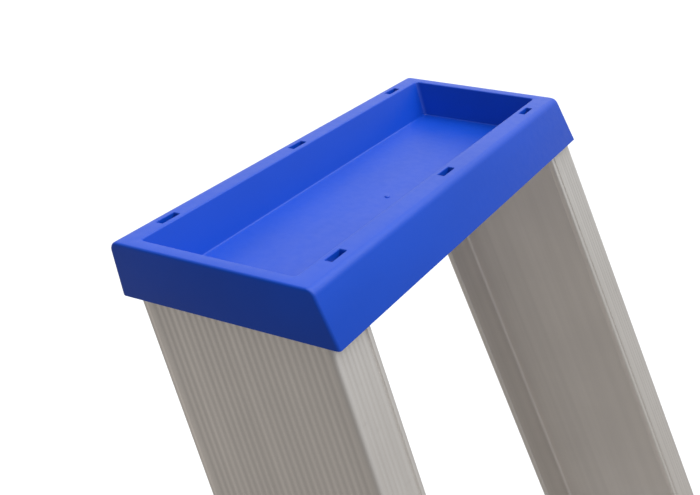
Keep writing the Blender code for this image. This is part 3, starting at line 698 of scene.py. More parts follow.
# ---------------------------------------------------------------- geometry node trees
class Pattern(Nodes):
    """A Geometry Nodes tree under construction, with named inputs."""

    def __init__(self, name):
        super().__init__(bpy.data.node_groups.new(name, "GeometryNodeTree"))
        self.tree.is_modifier = True
        self.tree.interface.new_socket("Geometry", in_out="OUTPUT", socket_type="NodeSocketGeometry")
        self.tree.interface.new_socket("Geometry", in_out="INPUT", socket_type="NodeSocketGeometry")
        self.start = self.tree.nodes.new("NodeGroupInput")
        self.sockets = {}

    def size(self, name, value, kind="NodeSocketFloat"):
        """A named input and its default."""
        socket = self.tree.interface.new_socket(name, in_out="INPUT", socket_type=kind)
        socket.default_value = value
        self.sockets[name] = socket.identifier
        return self.start.outputs[name]

    def joined(self, *geometry):
        made = self.node("GeometryNodeJoinGeometry")
        for socket in geometry:
            self.tree.links.new(socket, made.inputs[0])
        return made.outputs[0]

    def close(self, geometry, material):
        """Ends the tree with real geometry in one material."""
        real = self.node("GeometryNodeRealizeInstances", {"Geometry": geometry})
        merge = self.node("GeometryNodeMergeByDistance", {"Geometry": real.outputs[0], "Distance": 1e-7})
        painted = self.node("GeometryNodeSetMaterial", {"Geometry": merge.outputs[0], "Material": material})
        end = self.tree.nodes.new("NodeGroupOutput")
        self.tree.links.new(painted.outputs[0], end.inputs[0])
        return self


def points_mesh(name, places, directions=None):
    """A mesh of loose points, each with the direction that its instance faces."""
    mesh = bpy.data.meshes.new(name)
    mesh.from_pydata([tuple(place) for place in places], [], [])
    if directions:
        attribute = mesh.attributes.new("facing", "FLOAT_VECTOR", "POINT")
        for item, direction in zip(attribute.data, directions):
            item.vector = direction
    return mesh


def grown(name, mesh, pattern, body, nodes=(), values=None, limit=32.0):
    """Runs a pattern over a mesh and keeps the result as a plain piece."""
    obj = bpy.data.objects.new(name, mesh)
    bpy.context.scene.collection.objects.link(obj)
    modifier = obj.modifiers.new(pattern.tree.name, "NODES")
    modifier.node_group = pattern.tree
    for key, value in (values or {}).items():
        modifier[pattern.sockets[key]] = value
    result = evaluated_mesh(obj)
    obj.modifiers.remove(modifier)
    obj.data = result
    smooth(result, limit)
    return settle(obj, body, nodes)


def head_pattern(material):
    """A domed head on a thin washer at each point, facing along the point's own direction."""
    pattern = Pattern("domed_heads")
    radius = pattern.size("Head radius", 0.0052)
    height = pattern.size("Head height", 0.0024)
    facing = pattern.node("GeometryNodeInputNamedAttribute", {"Name": "facing"}, data_type="FLOAT_VECTOR")
    turn = pattern.node("FunctionNodeAlignRotationToVector", {"Vector": facing.outputs[0]}, axis="Z")
    ball = pattern.node("GeometryNodeMeshUVSphere", {"Segments": 24, "Rings": 12, "Radius": 1.0})
    size = pattern.node("ShaderNodeCombineXYZ", {0: radius, 1: radius, 2: height})
    dome = pattern.node("GeometryNodeTransform", {"Geometry": ball.outputs[0], "Scale": size.outputs[0]})
    wide = pattern.math("MULTIPLY", radius, 1.22)
    thick = pattern.math("MULTIPLY", height, 0.24)
    disc = pattern.node("GeometryNodeMeshCylinder", {"Vertices": 28, "Radius": wide, "Depth": thick})
    both = pattern.joined(dome.outputs[0], disc.outputs[0])
    heads = pattern.node(
        "GeometryNodeInstanceOnPoints",
        {"Points": pattern.start.outputs[0], "Instance": both, "Rotation": turn.outputs[0]},
    )
    return pattern.close(heads.outputs[0], material)


def rib_pattern(material):
    """Half-round ribs side by side: the input mesh holds one straight edge for each rib."""
    pattern = Pattern("grip_ribs")
    width = pattern.size("Rib width", 0.0030)
    height = pattern.size("Rib height", 0.0007)
    lines = pattern.node("GeometryNodeMeshToCurve", {"Mesh": pattern.start.outputs[0]})
    level = pattern.node("GeometryNodeSetCurveNormal", {"Curve": lines.outputs[0]}, mode="Z_UP")
    ring = pattern.node("GeometryNodeCurvePrimitiveCircle", {"Resolution": 14, "Radius": 1.0})
    half = pattern.math("MULTIPLY", width, 0.5)
    size = pattern.node("ShaderNodeCombineXYZ", {0: half, 1: height, 2: 1.0})
    oval = pattern.node("GeometryNodeTransform", {"Geometry": ring.outputs[0], "Scale": size.outputs[0]})
    inputs = {"Curve": level.outputs[0], "Profile Curve": oval.outputs[0], "Fill Caps": True}
    swept = pattern.node("GeometryNodeCurveToMesh", inputs)
    return pattern.close(swept.outputs[0], material)


def stitch_pattern(material):
    """Short raised stitches: each point is one stitch, facing along the seam."""
    pattern = Pattern("stitches")
    size = pattern.size("Stitch length", 0.0030)
    thick = pattern.size("Thread", 0.0007)
    facing = pattern.node("GeometryNodeInputNamedAttribute", {"Name": "facing"}, data_type="FLOAT_VECTOR")
    turn = pattern.node("FunctionNodeAlignRotationToVector", {"Vector": facing.outputs[0]}, axis="Z")
    ball = pattern.node("GeometryNodeMeshUVSphere", {"Segments": 8, "Rings": 6, "Radius": 0.5})
    scale = pattern.node("ShaderNodeCombineXYZ", {0: thick, 1: thick, 2: size})
    bead = pattern.node("GeometryNodeTransform", {"Geometry": ball.outputs[0], "Scale": scale.outputs[0]})
    row = pattern.node(
        "GeometryNodeInstanceOnPoints",
        {"Points": pattern.start.outputs[0], "Instance": bead.outputs[0], "Rotation": turn.outputs[0]},
    )
    return pattern.close(row.outputs[0], material)


def domed_heads(name, rows, body, radius, height, nodes=()):
    """A zinc head at each place: rows holds the places and the directions that they face."""
    mesh = points_mesh(name, *rows)
    values = {"Head radius": radius, "Head height": height}
    return grown(name, mesh, head_pattern(finish("zinc")), body, nodes, values)


# ---------------------------------------------------------------- tool tray
def tray_ring(half_x, front, rear, depth, corner):
    corners = [(-half_x, -front), (half_x, -front), (half_x, rear), (-half_x, rear)]
    return [Vector((x, TRAY_Y + y, TRAY_TOP - depth)) for x, y in rounded(corners, corner, 4)]


def pocket_ring(tray, depth, grow, corner=0.0020):
    half = tray.width / 2 - tray.rim_long
    return tray_ring(
        tray.span / 2 - tray.rim_end - 0.12 * depth + grow,
        half - 0.03 * depth + grow,
        half - 0.38 * depth + grow,
        depth,
        corner,
    )


def edge_offset(radius, depth):
    """How far a rounded edge lies inside the sharp one, at a depth below the top."""
    if depth >= radius:
        return 0.0
    return radius - math.sqrt(radius**2 - (radius - depth) ** 2)


def skirt_ring(tray, depth, inset=0.0, corner=0.0014):
    half = tray.width / 2
    return tray_ring(
        tray.span / 2 + 0.037 * depth - edge_offset(tray.end_radius, depth) - inset * 0.59,
        half + 0.556 * depth - edge_offset(tray.front_radius, depth) - inset,
        half - 0.272 * depth - edge_offset(tray.rear_radius, depth) - inset,
        depth,
        corner,
    )


def tray_shell(tray):
    """The whole moulding as one skin: pocket floor, walls, rim, skirt and underside."""
    fillet, lip = 0.0006, 0.0006
    rings = []
    for k in range(6):
        turn = math.radians(18 * k)
        depth = tray.pocket - fillet * (1 - math.cos(turn))
        rings.append(pocket_ring(tray, depth, -fillet * (1 - math.sin(turn))))
    for k in range(5):
        turn = math.radians(22.5 * k)
        rings.append(pocket_ring(tray, lip * (1 - math.sin(turn)), lip * (1 - math.cos(turn))))
    for k in range(11):
        rings.append(skirt_ring(tray, tray.rear_radius * (1 - math.cos(math.radians(9 * k)))))
    rings += [skirt_ring(tray, tray.skirt - 0.0004), skirt_ring(tray, tray.skirt - 0.0001, 0.0001)]
    rings += [skirt_ring(tray, tray.skirt, 0.0004), skirt_ring(tray, tray.skirt, tray.wall)]
    rings += [skirt_ring(tray, tray.wall + 0.002, tray.wall), pocket_ring(tray, tray.wall + 0.002, tray.wall)]
    rings.append(pocket_ring(tray, tray.pocket + tray.wall, tray.wall - 0.001))
    return lofted(rings)


def slot_cutter(tray, x, y):
    """The space of a slot, opened out a little where it meets the rim."""
    rings = []
    for grow, depth in ((0.0009, -0.0006), (0.00035, 0.0), (0.0001, 0.00025), (0.0, 0.0006), (0.0, 0.0075)):
        box = rectangle(
            x - tray.slot_length / 2 - grow,
            x + tray.slot_length / 2 + grow,
            y - tray.slot_width / 2 - grow,
            y + tray.slot_width / 2 + grow,
        )
        rings.append([Vector((a, TRAY_Y + b, TRAY_TOP - depth)) for a, b in rounded(box, 0.0004, 3)])
    return lofted(rings)


def gate_mark(tray):
    """The small raised spot that the moulding leaves on the pocket's floor."""
    radius, height, root, forward = 0.0013, 0.0006, 0.0004, 0.0095
    turns = [math.radians(a) for a in range(0, 90, 15)]
    dome = [(radius * math.cos(turn), height * math.sin(turn)) for turn in turns]
    profile = [(0, -root), (radius, -root), *dome, (0, height)]
    return turned(profile, Vector((0, TRAY_Y - forward, TRAY_TOP - tray.pocket)), (0, 0, 1), 20)


def plug(side):
    """The block under each end of the tray that fills the top of the stile."""
    section = rectangle(0.0023, 0.0255, -0.020, 0.0365)
    low, high = TRAY_TOP - 0.033, TRAY_TOP - 0.0188
    return block(section, level_on_stile(side, low), level_on_stile(side, high))


class LADDER_OT_tray(bpy.types.Operator):
    """Builds the moulded tool tray with its slots, rounded rim and plugs"""

    bl_idname = "ladder.tray"
    bl_label = "Tool tray"

    def execute(self, context):
        tray = context.scene.ladder_tray
        rim = tray.width / 2 - tray.slot_inset
        slots = [slot_cutter(tray, x * tray.slot_pitch, y) for x in (-1, 0, 1) for y in (-rim, rim)]
        shell = carved(tray_shell(tray), slots)
        whole = merged([shell, gate_mark(tray), plug(-1), plug(1)])
        piece("tray_moulding", whole, finish("tray_blue"), "front_frame", ["tool_tray"], 28.0)
        places = []
        for _, side in SIDES:
            level = up_at(STILE_HALF, TRAY_LOW.z + TRAY_SEAT - SCREW_DROP)
            places.append(on_stile(side, SCREW_IN, STILE_HALF, level) + front_normal() * GAP)
        rows, nodes = (places, [front_normal()] * 2), ["tray_screw_left", "tray_screw_right"]
        domed_heads("tray_screws", rows, "front_frame", 0.0044, 0.0018, nodes)
        return {"FINISHED"}


# ---------------------------------------------------------------- stiles
def corrugated(start, end, count, depth, samples=8):
    """Points along an edge with soft ribs pressed into the material on its left."""
    start, end = Vector(start), Vector(end)
    inward = Vector((start.y - end.y, end.x - start.x)).normalized()
    points = []
    for k in range(count * samples + 1):
        t = k / (count * samples)
        dip = 0.5 - 0.5 * math.cos(t * count * math.tau)
        points.append(start.lerp(end, t) + inward * depth * dip)
    return points


def fine_groove(at, along, inward, width, depth):
    """A narrow groove across an edge, with softened shoulders."""
    at, along, inward = Vector(at), Vector(along), Vector(inward)
    profile = ((-0.8, 0.0), (-0.5, 0.12), (-0.28, 0.8), (0.0, 1.0), (0.28, 0.8), (0.5, 0.12), (0.8, 0.0))
    return [at + along * (offset * width) + inward * (level * depth) for offset, level in profile]


def edge_strip(half, recess):
    """The narrow strip along the web's rear edge: a little lower than the web, with a slope up to it."""
    rows = ((1.0, 0.0012), (0.88, 0.0015), (0.12, 0.0023), (0.0, 0.0026))
    return [(recess * share, half - back) for share, back in rows]


def channel_corners(stile, grow=0.0):
    """The channel's corners, every face moved out by grow: inward from the web's outer face, then across."""
    half, tip = stile.depth / 2 + grow, stile.flange + grow
    step, wall = stile.flange - LIP_WIDTH - grow, stile.wall + grow
    inner, lip = stile.depth / 2 - wall, stile.depth / 2 - stile.lip - grow
    corners = [(-grow, half), (-grow, -half), (tip, -half), (tip, -lip), (step, -lip), (step, -inner)]
    corners += [(wall, -inner), (wall, inner), (step, inner), (step, lip), (tip, lip), (tip, half)]
    return corners


def stile_outline(stile):
    """The channel's section, with its ribs, groove and edge strip."""
    half, tip = stile.depth / 2, stile.flange
    corners = [(EDGE_RECESS, half), *channel_corners(stile)[1:]]
    radii = [0.0006, 0.0022, 0.0010, 0.0007, 0.0005, 0.0004, 0.0018, 0.0018, 0.0004, 0.0005, 0.0007, 0.0010]
    web_start, web_end = (0, half - 0.0050), (0, -half + 0.0034)
    flange_start, flange_end = (0.0032, -half), (tip - 0.0060, -half)
    web = [
        *edge_strip(half, EDGE_RECESS),
        *corrugated(web_start, web_end, stile.web_ribs, stile.rib_depth),
    ]
    flange = [
        *corrugated(flange_start, flange_end, stile.flange_ribs, 1.6 * stile.rib_depth),
        *fine_groove((tip - 0.0036, -half), (1, 0), (0, 1), 0.0016, 0.0018),
    ]
    return rounded(corners, radii, 4, {0: web, 1: flange})


class LADDER_OT_stiles(bpy.types.Operator):
    """Builds the two ribbed channels of the climbing frame"""

    bl_idname = "ladder.stiles"
    bl_label = "Stiles"

    def execute(self, context):
        outline = stile_outline(context.scene.ladder_stile)
        for word, side in SIDES:
            low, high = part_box("front_stile_" + word)
            bm = prism([outline], level_on_stile(side, low.z), level_on_stile(side, high.z))
            name, nodes = "stile_channel_" + word, ["front_stile_" + word]
            piece(name, bm, finish("stile_" + word), "front_frame", nodes, 40.0)
        return {"FINISHED"}


# ---------------------------------------------------------------- treads and their tie rods
def tread_number(name):
    return int(name.split("_")[1])


def tread_section(step, top, sunk=0.0):
    """A tread's corners in Y and Z: level top and bottom, ends along the stile."""
    slope, half = math.tan(LEAN), step.tread_depth / 2
    middle = FLOOR_Y + top * slope
    low, high = step.tread_height * slope, sunk * slope
    return [
        (middle - half - low, top - step.tread_height),
        (middle + half - low, top - step.tread_height),
        (middle + half - high, top - sunk),
        (middle - half - high, top - sunk),
    ]


def rod_places(step, top):
    """Where a tread's two tie rods run, in Y and Z."""
    drop = step.tread_height / 2
    middle = FLOOR_Y + (top - drop) * math.tan(LEAN)
    return [(middle - ROD_OFFSET, top - drop), (middle + ROD_OFFSET, top - drop)]


def tread_end(side, clearance):
    """Carries a tread's section to the inner face of a stile's web."""

    def place(y, z):
        up = front_axes(Vector((0, y, z)))[1]
        return Vector((side * (half_width(up) - clearance / math.cos(TILT)), y, z))

    return place


def tread_body(step, stile, top):
    """The tread's extrusion: a tube with three chambers and two ports for the rods."""
    slope, wall = math.tan(LEAN), 0.0018
    outer = rounded(tread_section(step, top, step.rib_height), 0.0025, 5)
    ceiling, floor = top - 0.0028, top - step.tread_height + wall
    ports = rod_places(step, top)
    half, middle = step.tread_depth / 2 - wall / COS_L, FLOOR_Y + top * slope
    levels = [middle - half]
    for y, z in ports:
        level = y + slope * (top - z)
        levels += [level - 0.0046, level + 0.0046]
    levels.append(middle + half)
    loops = [outer]
    for first, last in zip(levels[::2], levels[1::2]):
        lean_low, lean_high = slope * (top - floor), slope * (top - ceiling)
        chamber = [(first - lean_low, floor), (last - lean_low, floor), (last - lean_high, ceiling)]
        loops.append(rounded([*chamber, (first - lean_high, ceiling)], 0.001, 2))
    loops += [circle(y, z, 0.0030, 12) for y, z in ports]
    clearance = stile.wall + GAP
    return prism(loops, tread_end(-1, clearance), tread_end(1, clearance))


def edges_mesh(name, lines):
    """A mesh of separate straight edges."""
    points = [tuple(point) for line in lines for point in line]
    mesh = bpy.data.meshes.new(name)
    mesh.from_pydata(points, [(k, k + 1) for k in range(0, len(points), 2)], [])
    return mesh


class LADDER_OT_treads(bpy.types.Operator):
    """Builds the four treads with their grip ribs"""

    bl_idname = "ladder.treads"
    bl_label = "Treads"

    def execute(self, context):
        step, stile = context.scene.ladder_step, context.scene.ladder_stile
        lines = []
        for name in TREADS:
            top = tread_number(name) * step.rise
            bm = tread_body(step, stile, top)
            piece(name + "_profile", bm, finish("cross_aluminium"), "front_frame", [name])
            front = FLOOR_Y + top * math.tan(LEAN) - step.tread_depth / 2 + 0.0045
            pitch = (step.tread_depth - 0.0090) / step.tread_ribs
            left, right = (tread_end(side, stile.wall + 2 * GAP) for side in (-1, 1))
            for k in range(step.tread_ribs):
                y = front + (k + 0.5) * pitch
                lines.append((left(y, top - step.rib_height), right(y, top - step.rib_height)))
        values = {"Rib width": 0.0031, "Rib height": step.rib_height}
        pattern = rib_pattern(finish("grip"))
        mesh = edges_mesh("tread_grip_ribs", lines)
        grown("tread_grip_ribs", mesh, pattern, "front_frame", values=values, limit=50.0)
        return {"FINISHED"}


class LADDER_OT_tie_rods(bpy.types.Operator):
    """Builds the rods that tie the stiles through the treads, with a domed head at each end"""

    bl_idname = "ladder.tie_rods"
    bl_label = "Tie rods"

    def execute(self, context):
        step = context.scene.ladder_step
        rods, places, facings = [], [], []
        for name in TREADS:
            for y, z in rod_places(step, tread_number(name) * step.rise):
                up = front_axes(Vector((0, y, z)))[1]
                half = half_width(up)
                profile = [(0, -half), (0.0025, -half), (0.0025, half), (0, half)]
                rods.append(turned(profile, Vector((0, y, z)), (1, 0, 0), 16))
                for _, side in SIDES:
                    places.append(Vector((side * (half + GAP), y, z)))
                    facings.append(web_normal(side))
        nodes = [f"{name}_rod_{word}" for name in TREADS for word in ("front", "rear")]
        piece("tie_rod_shanks", merged(rods), finish("zinc"), "front_frame", nodes)
        domed_heads("tie_rod_heads", (places, facings), "front_frame", 0.0052, 0.0026)
        return {"FINISHED"}


# ---------------------------------------------------------------- platform
def deck_outline(sunk=0.0, radius=0.004):
    return rounded(rectangle(DECK_LOW.y, DECK_HIGH.y, DECK_LOW.z, DECK_HIGH.z - sunk), radius, 6)


def deck_chambers(wall=0.0022, boss=0.0095):
    """The deck's hollows: one in front of the bolts' boss and three behind it."""
    behind = PIVOT.y + boss
    width = (DECK_HIGH.y - wall - behind - 2 * wall) / 3
    spans = [(DECK_LOW.y + wall, PIVOT.y - boss)]
    spans += [(behind + k * (width + wall), behind + k * (width + wall) + width) for k in range(3)]
    high = DECK_HIGH.z - 0.0028
    return [rounded(rectangle(first, last, DECK_LOW.z + wall, high), 0.002, 2) for first, last in spans]


def across(x):
    """Carries an outline in Y and Z to a plane across the ladder."""
    return lambda y, z: Vector((x, y, z))


def deck_cap(side):
    """The moulded end plate: a raised border around a shallow panel, and a ring around the bolt."""
    near, far = DECK_HIGH.x + GAP, DECK_HIGH.x + 0.0030
    plate = block(deck_outline(0.0, 0.0042), across(side * near), across(side * far))
    soften(plate, 0.0005)
    inset = 0.0042
    panel = rectangle(DECK_LOW.y + inset, DECK_HIGH.y - inset, DECK_LOW.z + inset, DECK_HIGH.z - inset)
    panel = rounded(panel, 0.0025, 4)
    hollow = block(panel, across(side * (far - 0.0008)), across(side * (far + 0.001)))
    ends = [across(side * x) for x in (near - 0.001, far + 0.001)]
    bolt_bore = block(circle(PIVOT.y, PIVOT.z, BOLT_BORE, 24), *ends)
    plate = carved(carved(plate, [hollow]), [bolt_bore])
    height = far - near - 0.0008
    ring = [(0.0046, 0.0006), (0.0088, 0.0006), (0.0088, height + 0.0003), (0.0082, height + 0.0007)]
    ring += [(0.0052, height + 0.0007), (0.0046, height + 0.0003)]
    return merged([plate, turned(ring, Vector((side * near, PIVOT.y, PIVOT.z)), (side, 0, 0), 36)])


def tube_clip(side):
    """A hook under the deck that drops behind the support tube."""
    reach = tube_radius() + GAP
    turns = [math.radians(-10 + 3 * k) for k in range(25)]
    hollow = [(HINGE.y + reach * math.cos(t), HINGE.z + reach * math.sin(t)) for t in turns]
    back, under = HINGE.y + reach + 0.0055, DECK_LOW.z - GAP
    shoulder = arc(hollow[0], (back, hollow[0][1]), (back, under), 0.0022, 5)
    outline = [hollow[0], *shoulder, (back, under), (hollow[-1][0], under), *hollow[:0:-1]]
    hook = block([tuple(p) for p in outline], across(side * 0.0700), across(side * 0.0940))
    soften(hook, 0.0005, 40.0)
    return hook


def tube_radius():
    return (TUBE_HIGH.z - TUBE_LOW.z) / 2


class LADDER_OT_platform(bpy.types.Operator):
    """Builds the tipping platform: deck, grip ribs, end caps and tube clips"""

    bl_idname = "ladder.platform"
    bl_label = "Platform"

    def execute(self, context):
        step = context.scene.ladder_step
        half = DECK_HIGH.x
        bore = circle(PIVOT.y, PIVOT.z, BOLT_BORE, 24)
        loops = [deck_outline(step.rib_height), *deck_chambers(), bore]
        deck = prism(loops, across(-half), across(half))
        piece("deck_profile", deck, finish("cross_aluminium"), "platform", ["platform_deck"])
        first, last = DECK_LOW.y + 0.0075, DECK_HIGH.y - 0.0075
        pitch, level = (last - first) / step.deck_ribs, DECK_HIGH.z - step.rib_height
        rows = [first + (k + 0.5) * pitch for k in range(step.deck_ribs)]
        mesh = edges_mesh("deck_grip_ribs", [((GAP - half, y, level), (half - GAP, y, level)) for y in rows])
        values = {"Rib width": 0.0036, "Rib height": step.rib_height}
        pattern = rib_pattern(finish("grip"))
        grown("deck_grip_ribs", mesh, pattern, "platform", values=values, limit=50.0)
        for word, side in SIDES:
            cap, hook = deck_cap(side), tube_clip(side)
            blue = finish("fitting_blue")
            piece("deck_cap_" + word, cap, blue, "platform", ["platform_cap_" + word])
            piece("tube_clip_" + word, hook, blue, "platform", ["platform_clip_" + word])
        return {"FINISHED"}


# ---------------------------------------------------------------- hinge plates, tube and bolts
def hex_head(radius, height, base, axis):
    """A hexagon head with turned-down corners and a shallow dish in its top."""
    flat = radius * math.cos(math.radians(30))
    levels = [(0.0, 0.95), (0.06, 0.98), (0.1, 1.0), (0.74, 1.0), (0.84, 0.97), (0.93, 0.92), (1.0, 0.85)]
    levels += [(1.0, 0.62), (0.95, 0.52)]
    rings = []
    for level, limit in levels:
        ring = []
        for k in range(48):
            angle = math.tau * k / 48
            reach = min(flat / math.cos(angle % (math.pi / 3) - math.pi / 6), radius * limit)
            ring.append(Vector((reach * math.cos(angle), reach * math.sin(angle), height * level)))
        rings.append(ring)
    head = lofted(rings)
    head.transform(standing(base, axis))
    return head


def bracket_plane(side, out):
    """Carries a plate's outline, given across and up, to a plane outside the stile's web."""
    return lambda across, up: front_point(side * (half_width(up) + out), across, up)


def web_normal(side):
    """Square to the outer face of a stile's web."""
    return Vector((side * math.cos(TILT), math.sin(TILT) * SIN_L, math.sin(TILT) * COS_L))


def seat(axis_point):
    """Where a bolt's head sits, with room for the washer on the leaning plate."""
    thick = bpy.context.scene.ladder_fixings.bracket
    return half_width(front_axes(axis_point)[1]) + GAP + thick + 0.0007


def hinge_plate(side, fixings):
    """The plate outside each stile: a flat blank with softened edges and two holes for the bolts."""
    hinge_across, hinge_up = front_axes(HINGE)
    reach = hinge_across + 0.017
    corners = [(-0.034, -0.040), (0.030, -0.058), (reach, -0.017), (reach, 0.017)]
    corners += [(0.030, 0.040), (-0.034, 0.030)]
    outline = rounded([(a, hinge_up + b) for a, b in corners], 0.012, 8)
    plate = block(outline, bracket_plane(side, GAP), bracket_plane(side, GAP + fixings.bracket))
    soften(plate, 0.0007, 50.0, 3)
    bores = []
    for point in (HINGE, PIVOT):
        out = half_width(front_axes(point)[1])
        ring = circle(point.y, point.z, BOLT_BORE, 24)
        bores.append(block(ring, across(side * (out - 0.003)), across(side * (out + 0.008))))
    return carved(plate, bores)


def wedge_washer(side, point, fixings):
    """A washer that levels the bolt's head on the leaning plate."""
    at_across, at_up = front_axes(point)
    plane = bracket_plane(side, GAP + fixings.bracket)
    x = side * (seat(point) + 0.0003)

    def near(a, b):
        return plane(at_across + a, at_up + b)

    def far(a, b):
        level = near(a, b)
        return Vector((x, level.y, level.z))

    return prism([circle(0, 0, 0.0106, 40), circle(0, 0, BOLT_BORE, 24)], near, far)


def bolt(side, point, length, fixings):
    """A hexagon bolt with its washer, shank inward."""
    base = Vector((side * (seat(point) + GAP), point.y, point.z))
    head = hex_head(fixings.bolt_head, fixings.bolt_height, base, (side, 0, 0))
    shank = [(0, -length), (0.0034, -length), (0.0040, 0.0008 - length), (0.0040, 0.0004), (0, 0.0004)]
    return merged([head, turned(shank, base, (side, 0, 0), 24), wedge_washer(side, point, fixings)])


class LADDER_OT_hinges(bpy.types.Operator):
    """Builds the hinge plates with their rivets, the two pairs of bolts and the platform's spacers"""

    bl_idname = "ladder.hinges"
    bl_label = "Hinge plates and bolts"

    def execute(self, context):
        fixings = context.scene.ladder_fixings
        _, hinge_up = front_axes(HINGE)
        rivets, facings = [], []
        for word, side in SIDES:
            plate = hinge_plate(side, fixings)
            bracket = "hinge_bracket_" + word
            piece("hinge_plate_" + word, plate, finish("plate"), "front_frame", [bracket], 50.0)
            face = bracket_plane(side, GAP + fixings.bracket)
            for a, b in ((-0.022, -0.028), (0.026, -0.040), (0.026, 0.026), (-0.022, 0.018)):
                rivets.append(face(a, hinge_up + b))
                facings.append(web_normal(side))
            for node, point, length in (
                ("hinge_bolt_", HINGE, 0.048),
                ("platform_bolt_", PIVOT, seat(PIVOT) - DECK_HIGH.x + 0.014),
            ):
                whole = bolt(side, point, length, fixings)
                piece(node + "set_" + word, whole, finish("zinc"), "front_frame", [node + word])
            low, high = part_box("platform_spacer_" + word)
            span = high.x - low.x
            inner = min(abs(low.x), abs(high.x))
            ring = [(0.0043, 0), (0.0079, 0), (0.0085, 0.0006), (0.0085, span * 0.35), (0.0080, span * 0.42)]
            ring += [(0.0080, span * 0.58), (0.0085, span * 0.65), (0.0085, span - 0.0006), (0.0079, span)]
            ring.append((0.0043, span))
            spacer = turned(ring, Vector((side * inner, PIVOT.y, PIVOT.z)), (side, 0, 0), 36)
            nodes = ["platform_spacer_" + word]
            piece("spacer_sleeve_" + word, spacer, finish("nylon"), "front_frame", nodes)
        sizes = (fixings.rivet_head, fixings.rivet_height)
        domed_heads("hinge_plate_rivets", (rivets, facings), "front_frame", *sizes)
        return {"FINISHED"}


class LADDER_OT_support_tube(bpy.types.Operator):
    """Builds the tube that the platform rests on, with a nylon plug in each end"""

    bl_idname = "ladder.support_tube"
    bl_label = "Support tube"

    def execute(self, context):
        radius, bore, half = tube_radius(), tube_radius() - 0.002, TUBE_HIGH.x
        ring = [(bore, -half), (radius - 0.0005, -half), (radius, 0.0005 - half)]
        ring += [(radius, half - 0.0005), (radius - 0.0005, half), (bore, half)]
        tube = turned(ring, HINGE, (1, 0, 0), 48)
        piece("tube", tube, finish("cross_aluminium"), "front_frame", ["support_tube"])
        for word, side in SIDES:
            skin = bore - GAP
            ring = [(0.0043, 0), (skin, 0), (skin, 0.029), (skin - 0.001, 0.030), (0.0043, 0.030)]
            plug_ring = turned(ring, HINGE + Vector((side * half, 0, 0)), (-side, 0, 0), 36)
            name = "tube_plug_" + word
            piece("tube_bush_" + word, plug_ring, finish("nylon"), "front_frame", [name])
        return {"FINISHED"}


# ---------------------------------------------------------------- rear frame
def leg_outline(rear, grow=0.0, ribs=0):
    """A leg's section: outward from its inner face and across, with soft ribs on the outer face."""
    half, width = rear.depth / 2 + grow, rear.width + grow
    edges = None
    if ribs:
        edges = {1: corrugated((width, 0.0045 - half), (width, half - 0.0045), ribs, 0.00015)}
    return rounded(rectangle(-grow, width, -half, half), 0.002 + grow / 2, 5, edges)


def leg_hollow(rear, shrink):
    return rectangle(shrink, rear.width - shrink, shrink - rear.depth / 2, rear.depth / 2 - shrink)


def knuckle(side, rear):
    """The moulded knuckle in the top of a leg: a half disc on a collar, and the tenon inside the leg."""
    radius, slim = rear.depth / 2, 0.0004
    start = LEG_START

    def face(outward):
        inner = outward - rear.width
        return lambda across, down: rear_point(side * (leg_half_width(down) + inner), across, down)

    arch = [(radius * math.cos(math.pi * k / 32), -radius * math.sin(math.pi * k / 32)) for k in range(33)]
    outline = [*arch, (-radius, start), (radius, start)]
    body = prism([outline, circle(0, 0, 0.0043, 24)], face(slim), face(rear.width - slim))
    soften(body, 0.0009, 40.0, 3)
    ends = [on_leg(side, lambda across, at=at: at) for at in (start - TENON_START, TENON_END)]
    return merged([body, block(leg_hollow(rear, 0.0019), *ends)])


def crossbar_downs():
    """The three crossbars' places along the rear frame, from their boxes."""
    downs = {}
    for word in ("upper", "middle", "lower"):
        low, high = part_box("rear_crossbar_" + word)
        middle = (low + high) / 2
        downs[word] = (middle.y - HINGE.y) * SIN_R - (middle.z - HINGE.z) * COS_R
    return downs


class LADDER_OT_rear_legs(bpy.types.Operator):
    """Builds the two rear legs, their knuckles and the rivets in them"""

    bl_idname = "ladder.rear_legs"
    bl_label = "Rear legs"

    def execute(self, context):
        rear, fixings = context.scene.ladder_rear, context.scene.ladder_fixings
        places, facings = [], []
        for word, side in SIDES:
            low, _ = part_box("rear_leg_" + word)
            top = on_leg(side, lambda across: LEG_START + GAP)
            bottom = on_leg(side, lambda across: down_at(across, low.z))
            leg = prism([leg_outline(rear, 0.0, 11), leg_hollow(rear, rear.wall)], top, bottom)
            nodes, metal = ["rear_leg_" + word], finish("leg_" + word)
            piece("leg_tube_" + word, leg, metal, "rear_frame", nodes)
            nodes, blue = ["hinge_block_" + word], finish("fitting_blue")
            piece("knuckle_" + word, knuckle(side, rear), blue, "rear_frame", nodes)
            spots = [(0.0, 0.046)]
            for down in crossbar_downs().values():
                spots += [(0.0, down - 0.010), (0.0, down + 0.010)]
            for a, down in spots:
                places.append(on_leg(side, lambda _, fixed=down: fixed)(rear.width, a))
                facings.append(Vector((side, 0, 0)) + (rear_point(0, 0, 0) - rear_point(0, 0, 1)) * SPLAY)
        sizes = (fixings.rivet_head, fixings.rivet_height)
        domed_heads("leg_rivets", (places, facings), "rear_frame", *sizes)
        return {"FINISHED"}


